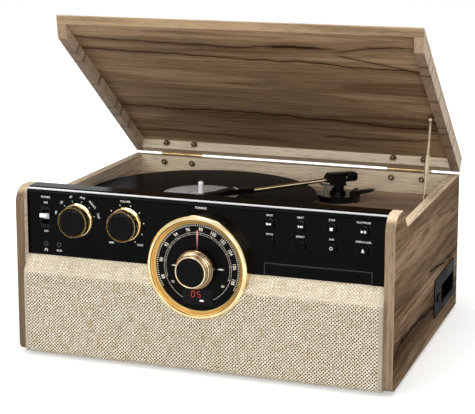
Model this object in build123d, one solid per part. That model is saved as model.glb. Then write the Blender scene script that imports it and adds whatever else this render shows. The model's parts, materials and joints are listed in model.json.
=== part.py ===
from build123d import *
import os
from math import acos, asin, cos, degrees, radians, sin, sqrt

os.makedirs("parts", exist_ok=True)

# A stereo music centre: wooden cabinet with a record player under a hinged lid, radio dial, CD tray
# and a cassette slot in the right side. Lengths in mm. The model is drawn with X across the cabinet,
# Y from the side panels' front edges towards the back and Z from the cabinet's underside; save()
# moves each piece to the part's origin, under the middle of the whole object on its feet.

# ---------------------------------------------------------------- what sets the cabinet's size
WIDTH = 470.0  # across the side panels
RECORD_R = 150.8  # 12 inch record
RECORD_SIDE = 2.2  # record to the left side board
RECORD_ENDS = 9.2  # record to the fascia and to the rear board
BOARD = 12.0  # side and rear boards
FASCIA_BACK = 36.0  # back of the fascia's top
DEPTH = FASCIA_BACK + 2 * (RECORD_R + RECORD_ENDS) + BOARD

# ---------------------------------------------------------------- cabinet
SIDE_TOP = 180.5  # flat top of the side panels
EAR_RISE = 24.0  # the panels' front ears above that top
EAR_DEPTH = 35.0  # back of an ear's flat crest
EAR_R = 20.0  # ear's rounded front corner
TOE_R = 10.0  # panel's rounded lower front corner
EDGE_R = 1.2  # eased edges of the boards
FLOOR_T = 9.0  # bottom board
DECK_T = 9.0  # board that carries the record player
DECK_TOP = 152.0
FOOT_D = 18.0
FOOT_H = 4.0
FOOT_INSET = 30.0  # foot centres from the cabinet's sides and ends

# ---------------------------------------------------------------- lid
LID_GAP = 1.2  # lid above the side panels' tops
LID_TOP_T = 9.0
LID_RIM_H = 13.5
LID_NOSE_GAP = 1.5  # between the lid's bevel and the ears' slope
LID_OPEN = 37.6  # degrees, as held by the stay

# ---------------------------------------------------------------- hinges
HINGE_X = WIDTH / 2 - 69.5  # hinge centres from the middle
HINGE_W = 61.0
HINGE_BACK = 2.5  # pin behind the rear board
HINGE_R = 2.4  # knuckle
HINGE_PIN_R = 1.0
LEAF_T = 1.2
LEAF_H = 15.5  # from the pin to the leaf's edge
HINGE_BOLT_X = 21.0  # bolts either side of the hinge's middle
HINGE_BOLT_Z = 8.6  # bolts above and below the pin
BOLT_R = 1.9
NUT_R = 3.9
NUT_T = 3.0

# ---------------------------------------------------------------- lid stay
STAY_Y = DEPTH - 133.0  # pivot on the right rim, lid closed
STAY_DROP = 7.2  # pivot below the lid's underside
STAY_LENGTH = 109.0  # pivot to sliding pin
STAY_LEAN = 17.5  # degrees from upright, lid open
STAY_IN = 8.0  # rod's centre from the side panel's inner face
STAY_ROD_R = 1.5
STAY_SLEEVE_R = 3.0
STAY_SLEEVE = (45.0, 71.0)  # sleeve's ends from the pivot
STAY_EYE_R = 4.0
STAY_PIN_R = 2.0
TRACK_T = 2.0
TRACK_EDGE = 3.0  # metal either side of the slot
STAY_BRACKET_R = 6.5

# ---------------------------------------------------------------- fascia and cloth front
FASCIA_Y = 7.7  # its front plane
FASCIA_Z = 121.9  # its lower edge
FASCIA_R = 8.0  # rounded front top edge
WALL = 3.0
CLOTH_Y = -6.0  # front of the cloth panel
CLOTH_CREST = 102.0  # where it starts to slope back to the fascia
CLOTH_T = 1.2
CLOTH_R = 8.0  # rounded lower edge
BAFFLE_BACK = 7.2  # back of the speaker board
SPEAKER_X = WIDTH / 2 - 85.0
SPEAKER_Z = 55.0
SPEAKER_R = 38.0  # cone surround
SPEAKER_DEPTH = 36.0
SPEAKER_MAGNET_R = 22.0

# ---------------------------------------------------------------- tuning dial
DIAL_X = 2.0
DIAL_Z = 127.0
DIAL_R = 62.0  # brass ring
DIAL_LIP_R = 52.0  # its inside edge
DIAL_FRONT = -9.0
DIAL_FACE_Y = -3.3
DIAL_FACE_T = 2.5
DIAL_FLANGE_R = 58.0  # clamps behind the fascia
DISPLAY_W = 37.0
DISPLAY_H = 19.5
DISPLAY_DX = -0.5
DISPLAY_DZ = -35.3
TUNING_RIM_R = 23.0
TUNING_NOSE_R = 18.5
TUNING_CAP_R = 17.4
TUNING_FRONT = -28.0
POINTER_TIP = 44.0
POINTER_W = 1.6

# ---------------------------------------------------------------- left controls
KNOB_Z = 168.0
SELECTOR_X = 78.5 - WIDTH / 2
VOLUME_X = 141.6 - WIDTH / 2
KNOB_RING_R = 20.5
KNOB_R = 17.5
KNOB_LENGTH = 17.0
KNOB_FLUTES = 24
SHAFT_R = 3.0
RUN_FIT = 0.06  # radial clearance of a shaft in its hole
SWITCH_X = 37.0 - WIDTH / 2
SWITCH_Z = 169.0
SWITCH_W = 13.0
SWITCH_H = 27.0
SWITCH_TILT = 16.0  # paddle up at ON, the same down at OFF
JACKS_X = (SWITCH_X - 0.8, SWITCH_X + 16.7)
JACK_Z = 135.5
JACK_BORE_R = 1.8  # 3.5 mm plug
JACK_NOSE_R = 3.0

# ---------------------------------------------------------------- buttons and CD tray
TRAY_W = 124.9
TRAY_X = (DIAL_X + DIAL_R + WIDTH / 2 - BOARD) / 2  # midway between the dial and the side board
TRAY_ENDS = (TRAY_X - TRAY_W / 2, TRAY_X + TRAY_W / 2)
BUTTON_PITCH = 36.8
BUTTON_X = TRAY_X - 2.3 - 1.5 * BUTTON_PITCH  # first column
BUTTON_ROWS_Z = (183.5, 161.2)
BUTTON_NAMES = (("back", "next", "stop", "play"), ("prog", "repeat", "pair", "open"))
BUTTON_R = 6.8
BUTTON_PROUD = 2.6
BUTTON_PRESS = 1.5
BOARD_Y = 20.0  # control board behind the fascia
PCB_T = 1.6
TRAY_Z = (122.5, 136.0)
TRAY_T = 3.0  # tray front
TRAY_LENGTH = 142.0
TRAY_TRAVEL = 125.0
TRAY_FLOOR_Z = 124.4
TRAY_H = 6.0
DISC_R = 60.5
FIT = 0.3  # gap between a moving piece and its neighbour

# ---------------------------------------------------------------- record player
SPINDLE_X = BOARD - WIDTH / 2 + RECORD_SIDE + RECORD_R
SPINDLE_Y = FASCIA_BACK + RECORD_ENDS + RECORD_R
SPINDLE_R = 3.55
SPINDLE_TOP = 184.0
RECORD_T = 2.0
RECORD_TOP = 168.0
MAT_R = 97.0
MAT_T = 2.5
PLATTER_R = 98.0
PLATTER_SKIRT = 7.5
CHASSIS_R = 106.0
CHASSIS_T = 2.0
DRIVE_RIM_R = 62.0
MOTOR_REACH = 75.0  # motor from the spindle
MOTOR_BEARING = 135.0  # degrees round from +X
MOTOR_R = 17.0
PULLEY_R = 5.0
BELT_T = 1.0
BELT_H = 4.0
SPEED_X = SPINDLE_X + RECORD_R + 41.2
SPEED_Y = SPINDLE_Y
SPEED_TRAVEL = 10.0

# ---------------------------------------------------------------- tonearm
PIVOT_REACH = RECORD_R + 33.05  # pivot from the spindle
PIVOT_BEARING = 30.75  # degrees round from +X
ARM_X = SPINDLE_X + PIVOT_REACH * cos(radians(PIVOT_BEARING))
ARM_Y = SPINDLE_Y + PIVOT_REACH * sin(radians(PIVOT_BEARING))
ARM_HEADING = PIVOT_BEARING + 180 + 7.75  # at rest on the record, a little short of the spindle
ARM_Z = 180.0  # tilting axis
ARM_SLOPE = 0.0622  # fall of the tube along its length
TUBE_R = 2.75
STYLUS = PIVOT_REACH + 2.15  # from the pivot
HEAD_START = STYLUS - 66.0
HEAD_END = STYLUS + 6.0
HEAD_W = 15.0
TUBE_END = HEAD_START + 8.0
HOUSING = (-24.0, 18.0)
HOUSING_W = 10.0
HOUSING_Z = (176.0, 188.0)
CHEEK_T = 2.0
TURRET_R = 11.0
TURRET_PIN_R = 5.0
ARM_BASE_R = 27.0
ARM_BASE_H = 8.0
CUE_R = 23.0  # lift bar from the pivot
CUE_SPAN = (214.0, 272.0)
CUE_BAR_W = 5.0
CUE_LIFT = 1.7
CUE_LEVER_X = ARM_X + 25.0
CUE_LEVER_Y = ARM_Y - 7.0
CUE_LEVER_Z = 164.0
CUE_LEVER_LENGTH = 27.0
CUE_LEVER_RISE = 12.0  # degrees, lever down
REST_REACH = 0.571 * PIVOT_REACH
REST_CLEAR = 3.15  # degrees between the arm on its rest and the record's edge

# ---------------------------------------------------------------- cassette slot, right side
BEZEL_Y = (DEPTH - 151.0, DEPTH - 31.0)
BEZEL_Z = (23.0, 73.5)
BEZEL_T = 1.5
SLOT_Y = (DEPTH - 109.0, DEPTH - 33.6)
SLOT_Z = (32.7, 57.0)
WELL_WALL = 1.6
WELL_DEPTH = 114.0
FLAP_T = 1.6
FLAP_SET = 1.9  # flap behind the bezel's face
KEY_Y = DEPTH - 130.0
KEY_Z = 45.5
KEY_W = 14.0
KEY_H = 9.0
KEY_PROUD = 2.0

# ---------------------------------------------------------------- back terminals
TERMINAL_X = 95.0 - WIDTH / 2
TERMINAL_Z = 45.0
TERMINAL_W = 112.0
TERMINAL_H = 52.0
TERMINAL_LIP = 6.0
RCA_R = 4.1
RCA_PITCH = 18.0

# ---------------------------------------------------------------- places that follow from the sizes
half = WIDTH / 2
inner = half - BOARD
rear = DEPTH - BOARD  # rear board's inner face
ear_top = SIDE_TOP + EAR_RISE
slope_sum = EAR_DEPTH + ear_top  # y + z along the ears' 45 degree slope
lid_low = SIDE_TOP + LID_GAP
lid_under = lid_low + LID_RIM_H
lid_high = lid_under + LID_TOP_T
nose_sum = slope_sum + LID_NOSE_GAP * sqrt(2)
hinge_y = DEPTH + HINGE_BACK
hinge_z = SIDE_TOP + LID_GAP / 2
lid_axis = Axis((0, hinge_y, hinge_z), (1, 0, 0))
edge_bearing = degrees(asin(RECORD_R / PIVOT_REACH))
arm_out = edge_bearing + REST_CLEAR + PIVOT_BEARING + 180 - ARM_HEADING  # from the record to the rest


def swung(y, z, angle):
    """A point of the lid, turned about the hinge pin."""
    a = radians(angle)
    dy = y - hinge_y
    dz = z - hinge_z
    return hinge_y + dy * cos(a) - dz * sin(a), hinge_z + dy * sin(a) + dz * cos(a)


lid_back = swung(DEPTH, lid_high, -LID_OPEN)[0]
origin_y = (TUNING_FRONT + lid_back) / 2


def save(name, *shapes):
    """Write one node, moved to the part's origin."""
    solids = [s for shape in shapes for s in shape.solids()]
    moved = [Pos(0, -origin_y, FOOT_H) * s for s in solids]
    export_step(Compound(moved) if len(moved) > 1 else moved[0], f"parts/{name}.step")


def block(x, y, z):
    """Box between three pairs of coordinates."""
    size = (x[1] - x[0], y[1] - y[0], z[1] - z[0])
    return Pos((x[0] + x[1]) / 2, (y[0] + y[1]) / 2, (z[0] + z[1]) / 2) * Box(*size)


def across(points, x0, x1):
    """Profile of (y, z) points, extruded across the cabinet."""
    return extrude(Plane.YZ.offset(x0) * make_face(Polyline(*points, close=True)), x1 - x0)


def turned_y(points, x=0.0, z=0.0):
    """Profile of (radius, y) points, turned about an axis along Y."""
    return Pos(x, 0, z) * revolve(make_face(Polyline(*points, close=True)), Axis.Y)


def turned_z(points, x=0.0, y=0.0):
    """Profile of (radius, z) points, turned about an upright axis."""
    return Pos(x, y, 0) * revolve(Plane.XZ * make_face(Polyline(*points, close=True)), Axis.Z)


def rod_x(y, z, r, x0, x1):
    return extrude(Plane.YZ.offset(x0) * Pos(y, z) * Circle(r), x1 - x0)


def rod_y(x, z, r, y0, y1):
    return Pos(x, (y0 + y1) / 2, z) * Rot(90, 0, 0) * Cylinder(r, y1 - y0)


def rod_z(x, y, r, z0, z1):
    return Pos(x, y, (z0 + z1) / 2) * Cylinder(r, z1 - z0)


def rod(start, end, r):
    """Cylinder between two points."""
    a = Vector(*start)
    b = Vector(*end)
    return extrude(Plane(origin=a, z_dir=b - a) * Circle(r), (b - a).length)


# ================================================================ cabinet boards
bezel_well_y = (SLOT_Y[0] - WELL_WALL, SLOT_Y[1] + WELL_WALL)
bezel_well_z = (SLOT_Z[0] - WELL_WALL, SLOT_Z[1] + WELL_WALL)
key_box_y = (KEY_Y - KEY_W / 2 - 5.0, KEY_Y + KEY_W / 2 + 5.0)
key_box_z = (KEY_Z - KEY_H / 2 - 5.0, KEY_Z + KEY_H / 2 + 5.0)


def grown(pair, by):
    return pair[0] - by, pair[1] + by


def side_panel(side):
    """Side board: square back, ear at the front with a 45 degree slope behind it."""
    slope_foot = slope_sum - SIDE_TOP
    points = [(0, 0), (0, ear_top), (EAR_DEPTH, ear_top), (slope_foot, SIDE_TOP)]
    points += [(DEPTH, SIDE_TOP), (DEPTH, 0)]
    face = make_face(Polyline(*points, close=True))
    corners = face.vertices().sort_by(Axis.X)[:2]
    face = fillet([corners.sort_by(Axis.Y)[0]], TOE_R)
    top = face.vertices().filter_by(lambda v: v.X < 0.01).sort_by(Axis.Y)[-1]
    face = fillet([top], EAR_R)
    panel = extrude(Plane.YZ.offset(-half if side < 0 else inner) * face, BOARD)
    outer = panel.faces().filter_by(Axis.X).sort_by(Axis.X)[0 if side < 0 else -1]
    return fillet(outer.edges(), EDGE_R)


left = side_panel(-1)
right = side_panel(1)
right -= block((inner - 1, half + 1), grown(bezel_well_y, 0.4), grown(bezel_well_z, 0.4))
right -= block((inner - 1, half + 1), grown(key_box_y, 0.4), grown(key_box_z, 0.4))
save("side_panel_left", left)
save("side_panel_right", right)

rear_panel = block((-inner, inner), (rear, DEPTH), (0, SIDE_TOP))
hole_w = TERMINAL_W / 2 - TERMINAL_LIP
hole_h = TERMINAL_H / 2 - TERMINAL_LIP
terminal_hole_x = (TERMINAL_X - hole_w, TERMINAL_X + hole_w)
terminal_hole_z = (TERMINAL_Z - hole_h, TERMINAL_Z + hole_h)
rear_panel -= block(terminal_hole_x, (rear - 1, DEPTH + 1), terminal_hole_z)
bolt_xs = [s * HINGE_X + b * HINGE_BOLT_X for s in (-1, 1) for b in (-1, 1)]
for x in bolt_xs:
    rear_panel -= rod_y(x, hinge_z - HINGE_BOLT_Z, BOLT_R, rear - 1, DEPTH + 1)
save("rear_panel", rear_panel)

save("bottom_panel", block((-inner, inner), (BAFFLE_BACK, rear), (0, FLOOR_T)))

motor_x = SPINDLE_X + MOTOR_REACH * cos(radians(MOTOR_BEARING))
motor_y = SPINDLE_Y + MOTOR_REACH * sin(radians(MOTOR_BEARING))
sleeve_r = SPINDLE_R + 3.0
deck_front = FASCIA_BACK - WALL
deck_low = DECK_TOP - DECK_T
deck = block((-inner, inner), (deck_front, rear), (deck_low, DECK_TOP))
deck -= rod_z(SPINDLE_X, SPINDLE_Y, sleeve_r, deck_low - 1, DECK_TOP + 1)
deck -= rod_z(motor_x, motor_y, 4.0, deck_low - 1, DECK_TOP + 1)
stem_x = (SPEED_X - 2.0, SPEED_X + 2.0)
speed_slot = block((stem_x[0] - FIT, stem_x[1] + SPEED_TRAVEL + FIT), (SPEED_Y - 1.3, SPEED_Y + 1.3),
                   (deck_low - 1, DECK_TOP + 1))
deck -= speed_slot
save("deck_board", deck)

feet_x = half - FOOT_INSET
foot_places = [(sx * feet_x, y) for sx in (-1, 1) for y in (FOOT_INSET, DEPTH - FOOT_INSET)]
foot = [(0, -FOOT_H), (FOOT_D / 2 - 1.0, -FOOT_H), (FOOT_D / 2, -FOOT_H + 1.0), (FOOT_D / 2, 0), (0, 0)]
save("rubber_feet", *[turned_z(foot, x, y) for x, y in foot_places])

# ================================================================ cloth front and speakers
slope_run = FASCIA_Y - CLOTH_Y
slope_rise = FASCIA_Z - CLOTH_CREST
front_outline = [(CLOTH_Y, 0), (CLOTH_Y, CLOTH_CREST)]
front_outline += [(FASCIA_Y + slope_run, FASCIA_Z + slope_rise), (60, FASCIA_Z + slope_rise), (60, 0)]
outer_face = make_face(Polyline(*front_outline, close=True))
toe = outer_face.vertices().filter_by(lambda v: v.X < CLOTH_Y + 0.01).sort_by(Axis.Y)[0]
outer_face = fillet([toe], CLOTH_R)
inner_face = offset(outer_face, -CLOTH_T, kind=Kind.INTERSECTION)
front_zone = block((-half, half), (CLOTH_Y - 5, BAFFLE_BACK + 1.6), (-1, FASCIA_Z))
outer_body = extrude(Plane.YZ.offset(-inner) * outer_face, 2 * inner) & front_zone
inner_half = inner - CLOTH_T
inner_body = extrude(Plane.YZ.offset(-inner_half) * inner_face, 2 * inner_half)
dial_hole = rod_y(DIAL_X, DIAL_Z, DIAL_R + FIT, CLOTH_Y - 5, BAFFLE_BACK + 5)
cloth = outer_body - inner_body - dial_hole
cloth -= block((-half, half), (BAFFLE_BACK, BAFFLE_BACK + 5), (-5, CLOTH_CREST))
save("grille_cloth", cloth)

baffle = inner_body & block((-half, half), (CLOTH_Y, BAFFLE_BACK), (CLOTH_T, FASCIA_Z))
baffle -= dial_hole
speaker_hole_r = SPEAKER_R - 4.0
for sx in (-1, 1):
    baffle -= rod_y(sx * SPEAKER_X, SPEAKER_Z, speaker_hole_r, CLOTH_Y, BAFFLE_BACK + 1)
save("speaker_baffle", baffle)

# Each driver: steel basket on the board's back, paper cone with its dust cap, magnet.
back = BAFFLE_BACK + SPEAKER_DEPTH
basket_section = [(speaker_hole_r, BAFFLE_BACK), (SPEAKER_R, BAFFLE_BACK), (SPEAKER_R, BAFFLE_BACK + 2),
                  (SPEAKER_R - 4, BAFFLE_BACK + 3), (SPEAKER_MAGNET_R, back - 13), (SPEAKER_MAGNET_R, back),
                  (0, back), (0, back - 16), (11, back - 17), (speaker_hole_r, BAFFLE_BACK + 2)]
basket = turned_y(basket_section)
dome = turned_y([(0, back - 23), (9, back - 19.5), (11, back - 17), (0, back - 16)])
save("speaker_drivers", *[Pos(sx * SPEAKER_X, 0, SPEAKER_Z) * (basket + dome) for sx in (-1, 1)])

# ================================================================ fascia moulding
top = ear_top
outline = [(FASCIA_Y, FASCIA_Z), (FASCIA_Y, top), (FASCIA_BACK, top), (FASCIA_BACK, DECK_TOP)]
outline += [(deck_front, DECK_TOP), (deck_front, FASCIA_Z)]
face = make_face(Polyline(*outline, close=True))
nose = face.vertices().filter_by(lambda v: v.X < FASCIA_Y + 0.01).sort_by(Axis.Y)[-1]
face = fillet([nose], FASCIA_R)
fascia = extrude(Plane.YZ.offset(-inner) * face, 2 * inner)
wall_back = FASCIA_Y + WALL
hollow = [(wall_back, FASCIA_Z - 1), (wall_back, top - WALL), (deck_front, top - WALL)]
hollow += [(deck_front, DECK_TOP), (deck_front + 1, DECK_TOP - 1), (deck_front + 1, FASCIA_Z - 1)]
cavity = make_face(Polyline(*hollow, close=True))
bend = cavity.vertices().sort_by(Axis.X)[:2].sort_by(Axis.Y)[-1]
cavity = fillet([bend], FASCIA_R - WALL)
fascia -= extrude(Plane.YZ.offset(-inner + WALL) * cavity, 2 * (inner - WALL))
barrel_r = DIAL_LIP_R - 0.3
fascia -= rod_y(DIAL_X, DIAL_Z, barrel_r + 0.3, FASCIA_Y - 1, wall_back + 1)
for x in (SELECTOR_X, VOLUME_X):
    fascia -= rod_y(x, KNOB_Z, SHAFT_R + 1.0, FASCIA_Y - 1, wall_back + 1)
switch_body_w = SWITCH_W - 2.0
switch_body_h = SWITCH_H - 3.0
fascia -= block((SWITCH_X - switch_body_w / 2, SWITCH_X + switch_body_w / 2), (FASCIA_Y - 1, wall_back + 1),
                (SWITCH_Z - switch_body_h / 2, SWITCH_Z + switch_body_h / 2))
for x in JACKS_X:
    fascia -= rod_y(x, JACK_Z, JACK_NOSE_R, FASCIA_Y - 1, wall_back + 1)
button_places = []
for row, z in zip(BUTTON_NAMES, BUTTON_ROWS_Z):
    for column, name in enumerate(row):
        button_places.append((name, BUTTON_X + column * BUTTON_PITCH, z))
for name, x, z in button_places:
    fascia -= rod_y(x, z, BUTTON_R + FIT, FASCIA_Y - 1, wall_back + 1)
fascia -= block(grown(TRAY_ENDS, FIT), (FASCIA_Y - 1, wall_back + 1), (FASCIA_Z - 1, TRAY_Z[1] + FIT))
save("control_fascia", fascia)

# ================================================================ tuning dial
ring_back = FASCIA_Y
ring_front_r = DIAL_R - 4.5
ring = turned_y([(DIAL_LIP_R, ring_back), (DIAL_R, ring_back), (DIAL_R, DIAL_FRONT + 4.2),
                 (DIAL_R - 0.5, DIAL_FRONT + 2.1), (DIAL_R - 2.0, DIAL_FRONT + 0.6),
                 (ring_front_r, DIAL_FRONT), (ring_front_r - 1.6, DIAL_FRONT + 0.7),
                 (ring_front_r - 3.2, DIAL_FRONT + 2.6), (DIAL_LIP_R + 0.6, DIAL_FRONT + 4.4),
                 (DIAL_LIP_R, DIAL_FRONT + 5.2)], DIAL_X, DIAL_Z)
save("dial_bezel", ring)

face_back = DIAL_FACE_Y + DIAL_FACE_T
flange_y = wall_back
sleeve_outer = 4.5
gear_back = flange_y + 12.0
dial_section = [(0, DIAL_FACE_Y), (barrel_r, DIAL_FACE_Y), (barrel_r, flange_y)]
dial_section += [(DIAL_FLANGE_R, flange_y), (DIAL_FLANGE_R, flange_y + 2.3), (16, flange_y + 2.3)]
dial_section += [(16, gear_back), (0, gear_back)]
dial = turned_y(dial_section, DIAL_X, DIAL_Z)
dial_cup = [(20, face_back), (barrel_r - 2, face_back), (barrel_r - 2, flange_y), (20, flange_y)]
dial -= turned_y(dial_cup, DIAL_X, DIAL_Z)
dial -= rod_y(DIAL_X, DIAL_Z, sleeve_outer + RUN_FIT, DIAL_FACE_Y - 1, flange_y)
dial -= rod_y(DIAL_X, DIAL_Z, SHAFT_R + RUN_FIT, DIAL_FACE_Y - 1, gear_back - 2)
window_x = (DIAL_X + DISPLAY_DX - DISPLAY_W / 2, DIAL_X + DISPLAY_DX + DISPLAY_W / 2)
window_z = (DIAL_Z + DISPLAY_DZ - DISPLAY_H / 2, DIAL_Z + DISPLAY_DZ + DISPLAY_H / 2)
dial -= block(window_x, (DIAL_FACE_Y - 1, face_back + 0.5), window_z)
save("dial_face", dial)
save("dial_display", block(window_x, (DIAL_FACE_Y + 0.2, face_back), window_z))

# Pointer on a sleeve round the tuning shaft, so the knob can turn faster than the pointer.
pointer_y = (DIAL_FACE_Y - 1.3, DIAL_FACE_Y - 0.4)
hub_r = 8.0
pointer = rod_y(0, 0, hub_r, *pointer_y) + rod_y(0, 0, sleeve_outer, pointer_y[1], flange_y - 1)
pointer += block((-POINTER_W / 2, POINTER_W / 2), pointer_y, (hub_r - 1, POINTER_TIP))
pointer -= rod_y(0, 0, SHAFT_R + RUN_FIT, pointer_y[0] - 1, flange_y)
save("dial_pointer", Pos(DIAL_X, 0, DIAL_Z) * pointer)

knob_back = pointer_y[0] - 0.4
rim_y = -14.5
taper_top = (TUNING_RIM_R - 0.8, rim_y - 0.8)
taper_end = (TUNING_NOSE_R + 0.5, TUNING_FRONT + 0.8)


def on_taper(share, sunk):
    """Point of the knob's side, this share of the way to its nose and this far below the surface."""
    radius = taper_top[0] + (taper_end[0] - taper_top[0]) * share - sunk
    return radius, taper_top[1] + (taper_end[1] - taper_top[1]) * share


grooves = []
for start in (0.16, 0.44, 0.72):
    grooves += [on_taper(start, 0), on_taper(start + 0.03, 0.7), on_taper(start + 0.09, 0.7),
                on_taper(start + 0.12, 0)]
tuning = turned_y([(0, gear_back - 4), (SHAFT_R, gear_back - 4), (SHAFT_R, knob_back),
                   (TUNING_RIM_R - 1, knob_back), (TUNING_RIM_R, knob_back - 1),
                   (TUNING_RIM_R, rim_y), taper_top, *grooves, taper_end, (TUNING_NOSE_R - 0.3, TUNING_FRONT),
                   (TUNING_CAP_R, TUNING_FRONT), (TUNING_CAP_R - 0.6, TUNING_FRONT + 0.8),
                   (0, TUNING_FRONT + 1.2)], DIAL_X, DIAL_Z)
save("tuning_knob", tuning)

# ================================================================ left controls
ring_section = [(KNOB_R + FIT, FASCIA_Y), (KNOB_RING_R, FASCIA_Y), (KNOB_RING_R, FASCIA_Y - 1.5),
                (KNOB_RING_R - 0.9, FASCIA_Y - 3.2), (KNOB_R + 1.0, FASCIA_Y - 4.0),
                (KNOB_R + FIT, FASCIA_Y - 3.6)]
save("knob_rings", *[turned_y(ring_section, x, KNOB_Z) for x in (SELECTOR_X, VOLUME_X)])

knob_front = FASCIA_Y - KNOB_LENGTH
knob_start = FASCIA_Y - 0.4
pot_y = (wall_back, BOARD_Y)
shaft_end = BOARD_Y - 2.0


def small_knob():
    """Fluted knob with a domed edge, an index groove and its shaft."""
    body = turned_y([(0, shaft_end), (SHAFT_R, shaft_end), (SHAFT_R, knob_start), (KNOB_R, knob_start),
                     (KNOB_R, FASCIA_Y - 5.0), (KNOB_R - 1.2, knob_front + 2.2),
                     (KNOB_R - 2.6, knob_front + 0.5), (KNOB_R - 4.0, knob_front), (0, knob_front + 0.4)])
    flute = rod_y(KNOB_R + 0.7, 0, 1.5, knob_front - 1, FASCIA_Y - 6.0)
    for k in range(KNOB_FLUTES):
        body -= Rot(0, k * 360 / KNOB_FLUTES, 0) * flute
    groove = block((-0.5, 0.5), (knob_front - 1, knob_front + 0.8), (KNOB_R - 11, KNOB_R))
    return body - groove


knob = small_knob()
save("selector_knob", Pos(SELECTOR_X, 0, KNOB_Z) * knob)
save("volume_knob", Pos(VOLUME_X, 0, KNOB_Z) * knob)

# Power switch: framed body through the fascia, rocking paddle on two trunnions.
paddle_y = wall_back + 1.0
paddle_w = 9.4
slot_w = paddle_w + 2 * FIT
body_back = wall_back + 9.0
frame_y = (FASCIA_Y - 1.2, FASCIA_Y)
switch = block((-SWITCH_W / 2, SWITCH_W / 2), frame_y, (-SWITCH_H / 2, SWITCH_H / 2))
switch = fillet(switch.edges().filter_by(Axis.Y), 2.0)
switch += block((-switch_body_w / 2, switch_body_w / 2), (FASCIA_Y, body_back),
                (-switch_body_h / 2, switch_body_h / 2))
switch -= block((-slot_w / 2, slot_w / 2), (frame_y[0] - 1, paddle_y + 5), (-8.5, 8.5))
switch -= rod_x(paddle_y, 0, 1.2 + RUN_FIT, -paddle_w / 2 - 0.7, paddle_w / 2 + 0.7)
save("toggle_body", Pos(SWITCH_X, 0, SWITCH_Z) * switch)
paddle = rod_x(0, 0, 3.6, -paddle_w / 2, paddle_w / 2)
paddle += across([(1, -3.4), (-9.0, -2.5), (-12.2, -2.1), (-12.2, 2.1), (-9.0, 2.5), (1, 3.4)],
                 -paddle_w / 2, paddle_w / 2)
paddle += rod_x(0, 0, 1.2, -paddle_w / 2 - 0.6, paddle_w / 2 + 0.6)
# Turning about X by a negative angle lifts a nose that points to the front.
save("toggle_lever", Pos(SWITCH_X, paddle_y, SWITCH_Z) * Rot(-SWITCH_TILT, 0, 0) * paddle)

# Control board behind the fascia, with the two controls, the key switches and the jacks on it.
board_z = (JACK_Z - 9.0, BUTTON_ROWS_Z[0] + 12.0)
board = block((-inner + 5, inner - 5), (BOARD_Y, BOARD_Y + PCB_T), board_z)
board -= rod_y(DIAL_X, DIAL_Z, DIAL_FLANGE_R + 2.0, BOARD_Y - 1, BOARD_Y + PCB_T + 1)
board -= block((TRAY_ENDS[0] - 8, inner), (BOARD_Y - 1, BOARD_Y + PCB_T + 1), (board_z[0] - 1, DECK_TOP - 2))
for x in (SELECTOR_X, VOLUME_X):
    pot = rod_y(x, KNOB_Z, 4.0, FASCIA_Y + 1.0, wall_back) + rod_y(x, KNOB_Z, 9.0, wall_back, BOARD_Y)
    board += pot - rod_y(x, KNOB_Z, SHAFT_R + RUN_FIT, FASCIA_Y, BOARD_Y - 1.5)
for name, x, z in button_places:
    board += block((x - 3, x + 3), (BOARD_Y - 2, BOARD_Y), (z - 3, z + 3))
for x in JACKS_X:
    jack = block((x - 4, x + 4), (wall_back, BOARD_Y), (JACK_Z - 3.5, JACK_Z + 3.5))
    jack += rod_y(x, JACK_Z, JACK_NOSE_R, FASCIA_Y, wall_back)
    board += jack
for x in JACKS_X:
    board -= rod_y(x, JACK_Z, JACK_BORE_R, FASCIA_Y - 1, BOARD_Y - 1)
save("control_board", board)

# ================================================================ keys and CD drawer
cap_front = FASCIA_Y - BUTTON_PROUD
flange = (wall_back + FIT, wall_back + FIT + 1.4)
stem_end = BOARD_Y - 2 - BUTTON_PRESS - 0.2
button = turned_y([(0, stem_end), (2, stem_end), (2, flange[1]), (BUTTON_R + 1.3, flange[1]),
                   (BUTTON_R + 1.3, flange[0]), (BUTTON_R, flange[0]), (BUTTON_R, cap_front + 1.0),
                   (BUTTON_R - 0.35, cap_front + 0.3), (BUTTON_R - 1.1, cap_front), (0, cap_front)])
for name, x, z in button_places:
    save("button_" + name, Pos(x, 0, z) * button)

tray_half = TRAY_W / 2 - 2.2
tray_face_y = FASCIA_Y - 0.3
tray_start = tray_face_y + TRAY_T
tray_end = tray_start + TRAY_LENGTH
tray_top = TRAY_FLOOR_Z + TRAY_H
disc_y = tray_start + DISC_R + 3.5
tray = block((TRAY_X - tray_half, TRAY_X + tray_half), (tray_start, tray_end), (TRAY_FLOOR_Z, tray_top))
tray = fillet(tray.edges().filter_by(Axis.Z).sort_by(Axis.Y)[-2:], 12.0)
tray -= rod_z(TRAY_X, disc_y, DISC_R, tray_top - 2.2, tray_top + 1)
tray -= rod_z(TRAY_X, disc_y, DISC_R * 0.68, tray_top - 3.2, tray_top)
tray -= block((TRAY_X - 19, TRAY_X + 19), (disc_y - 19, tray_end - 6), (TRAY_FLOOR_Z - 1, tray_top))
tray_front = block(TRAY_ENDS, (tray_face_y, tray_start), TRAY_Z)
tray_front = fillet(tray_front.edges().filter_by(Axis.X).sort_by(Axis.Y)[:2], 0.8)
save("cd_tray", tray + tray_front)

# Drive below the deck: open-fronted box that guides the drawer, spindle motor and laser under it.
drive_x = (TRAY_X - tray_half - 6, TRAY_X + tray_half + 6)
drive_low = TRAY_FLOOR_Z - 12.0
drive_back = tray_end + 8.0
drive = block(drive_x, (wall_back + 2, drive_back), (drive_low, deck_low))
drive -= block((TRAY_X - tray_half - 0.25, TRAY_X + tray_half + 0.25), (wall_back, tray_end + FIT),
               (TRAY_FLOOR_Z - 0.25, deck_low - 2.5))
save("cd_drive", drive)

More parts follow.
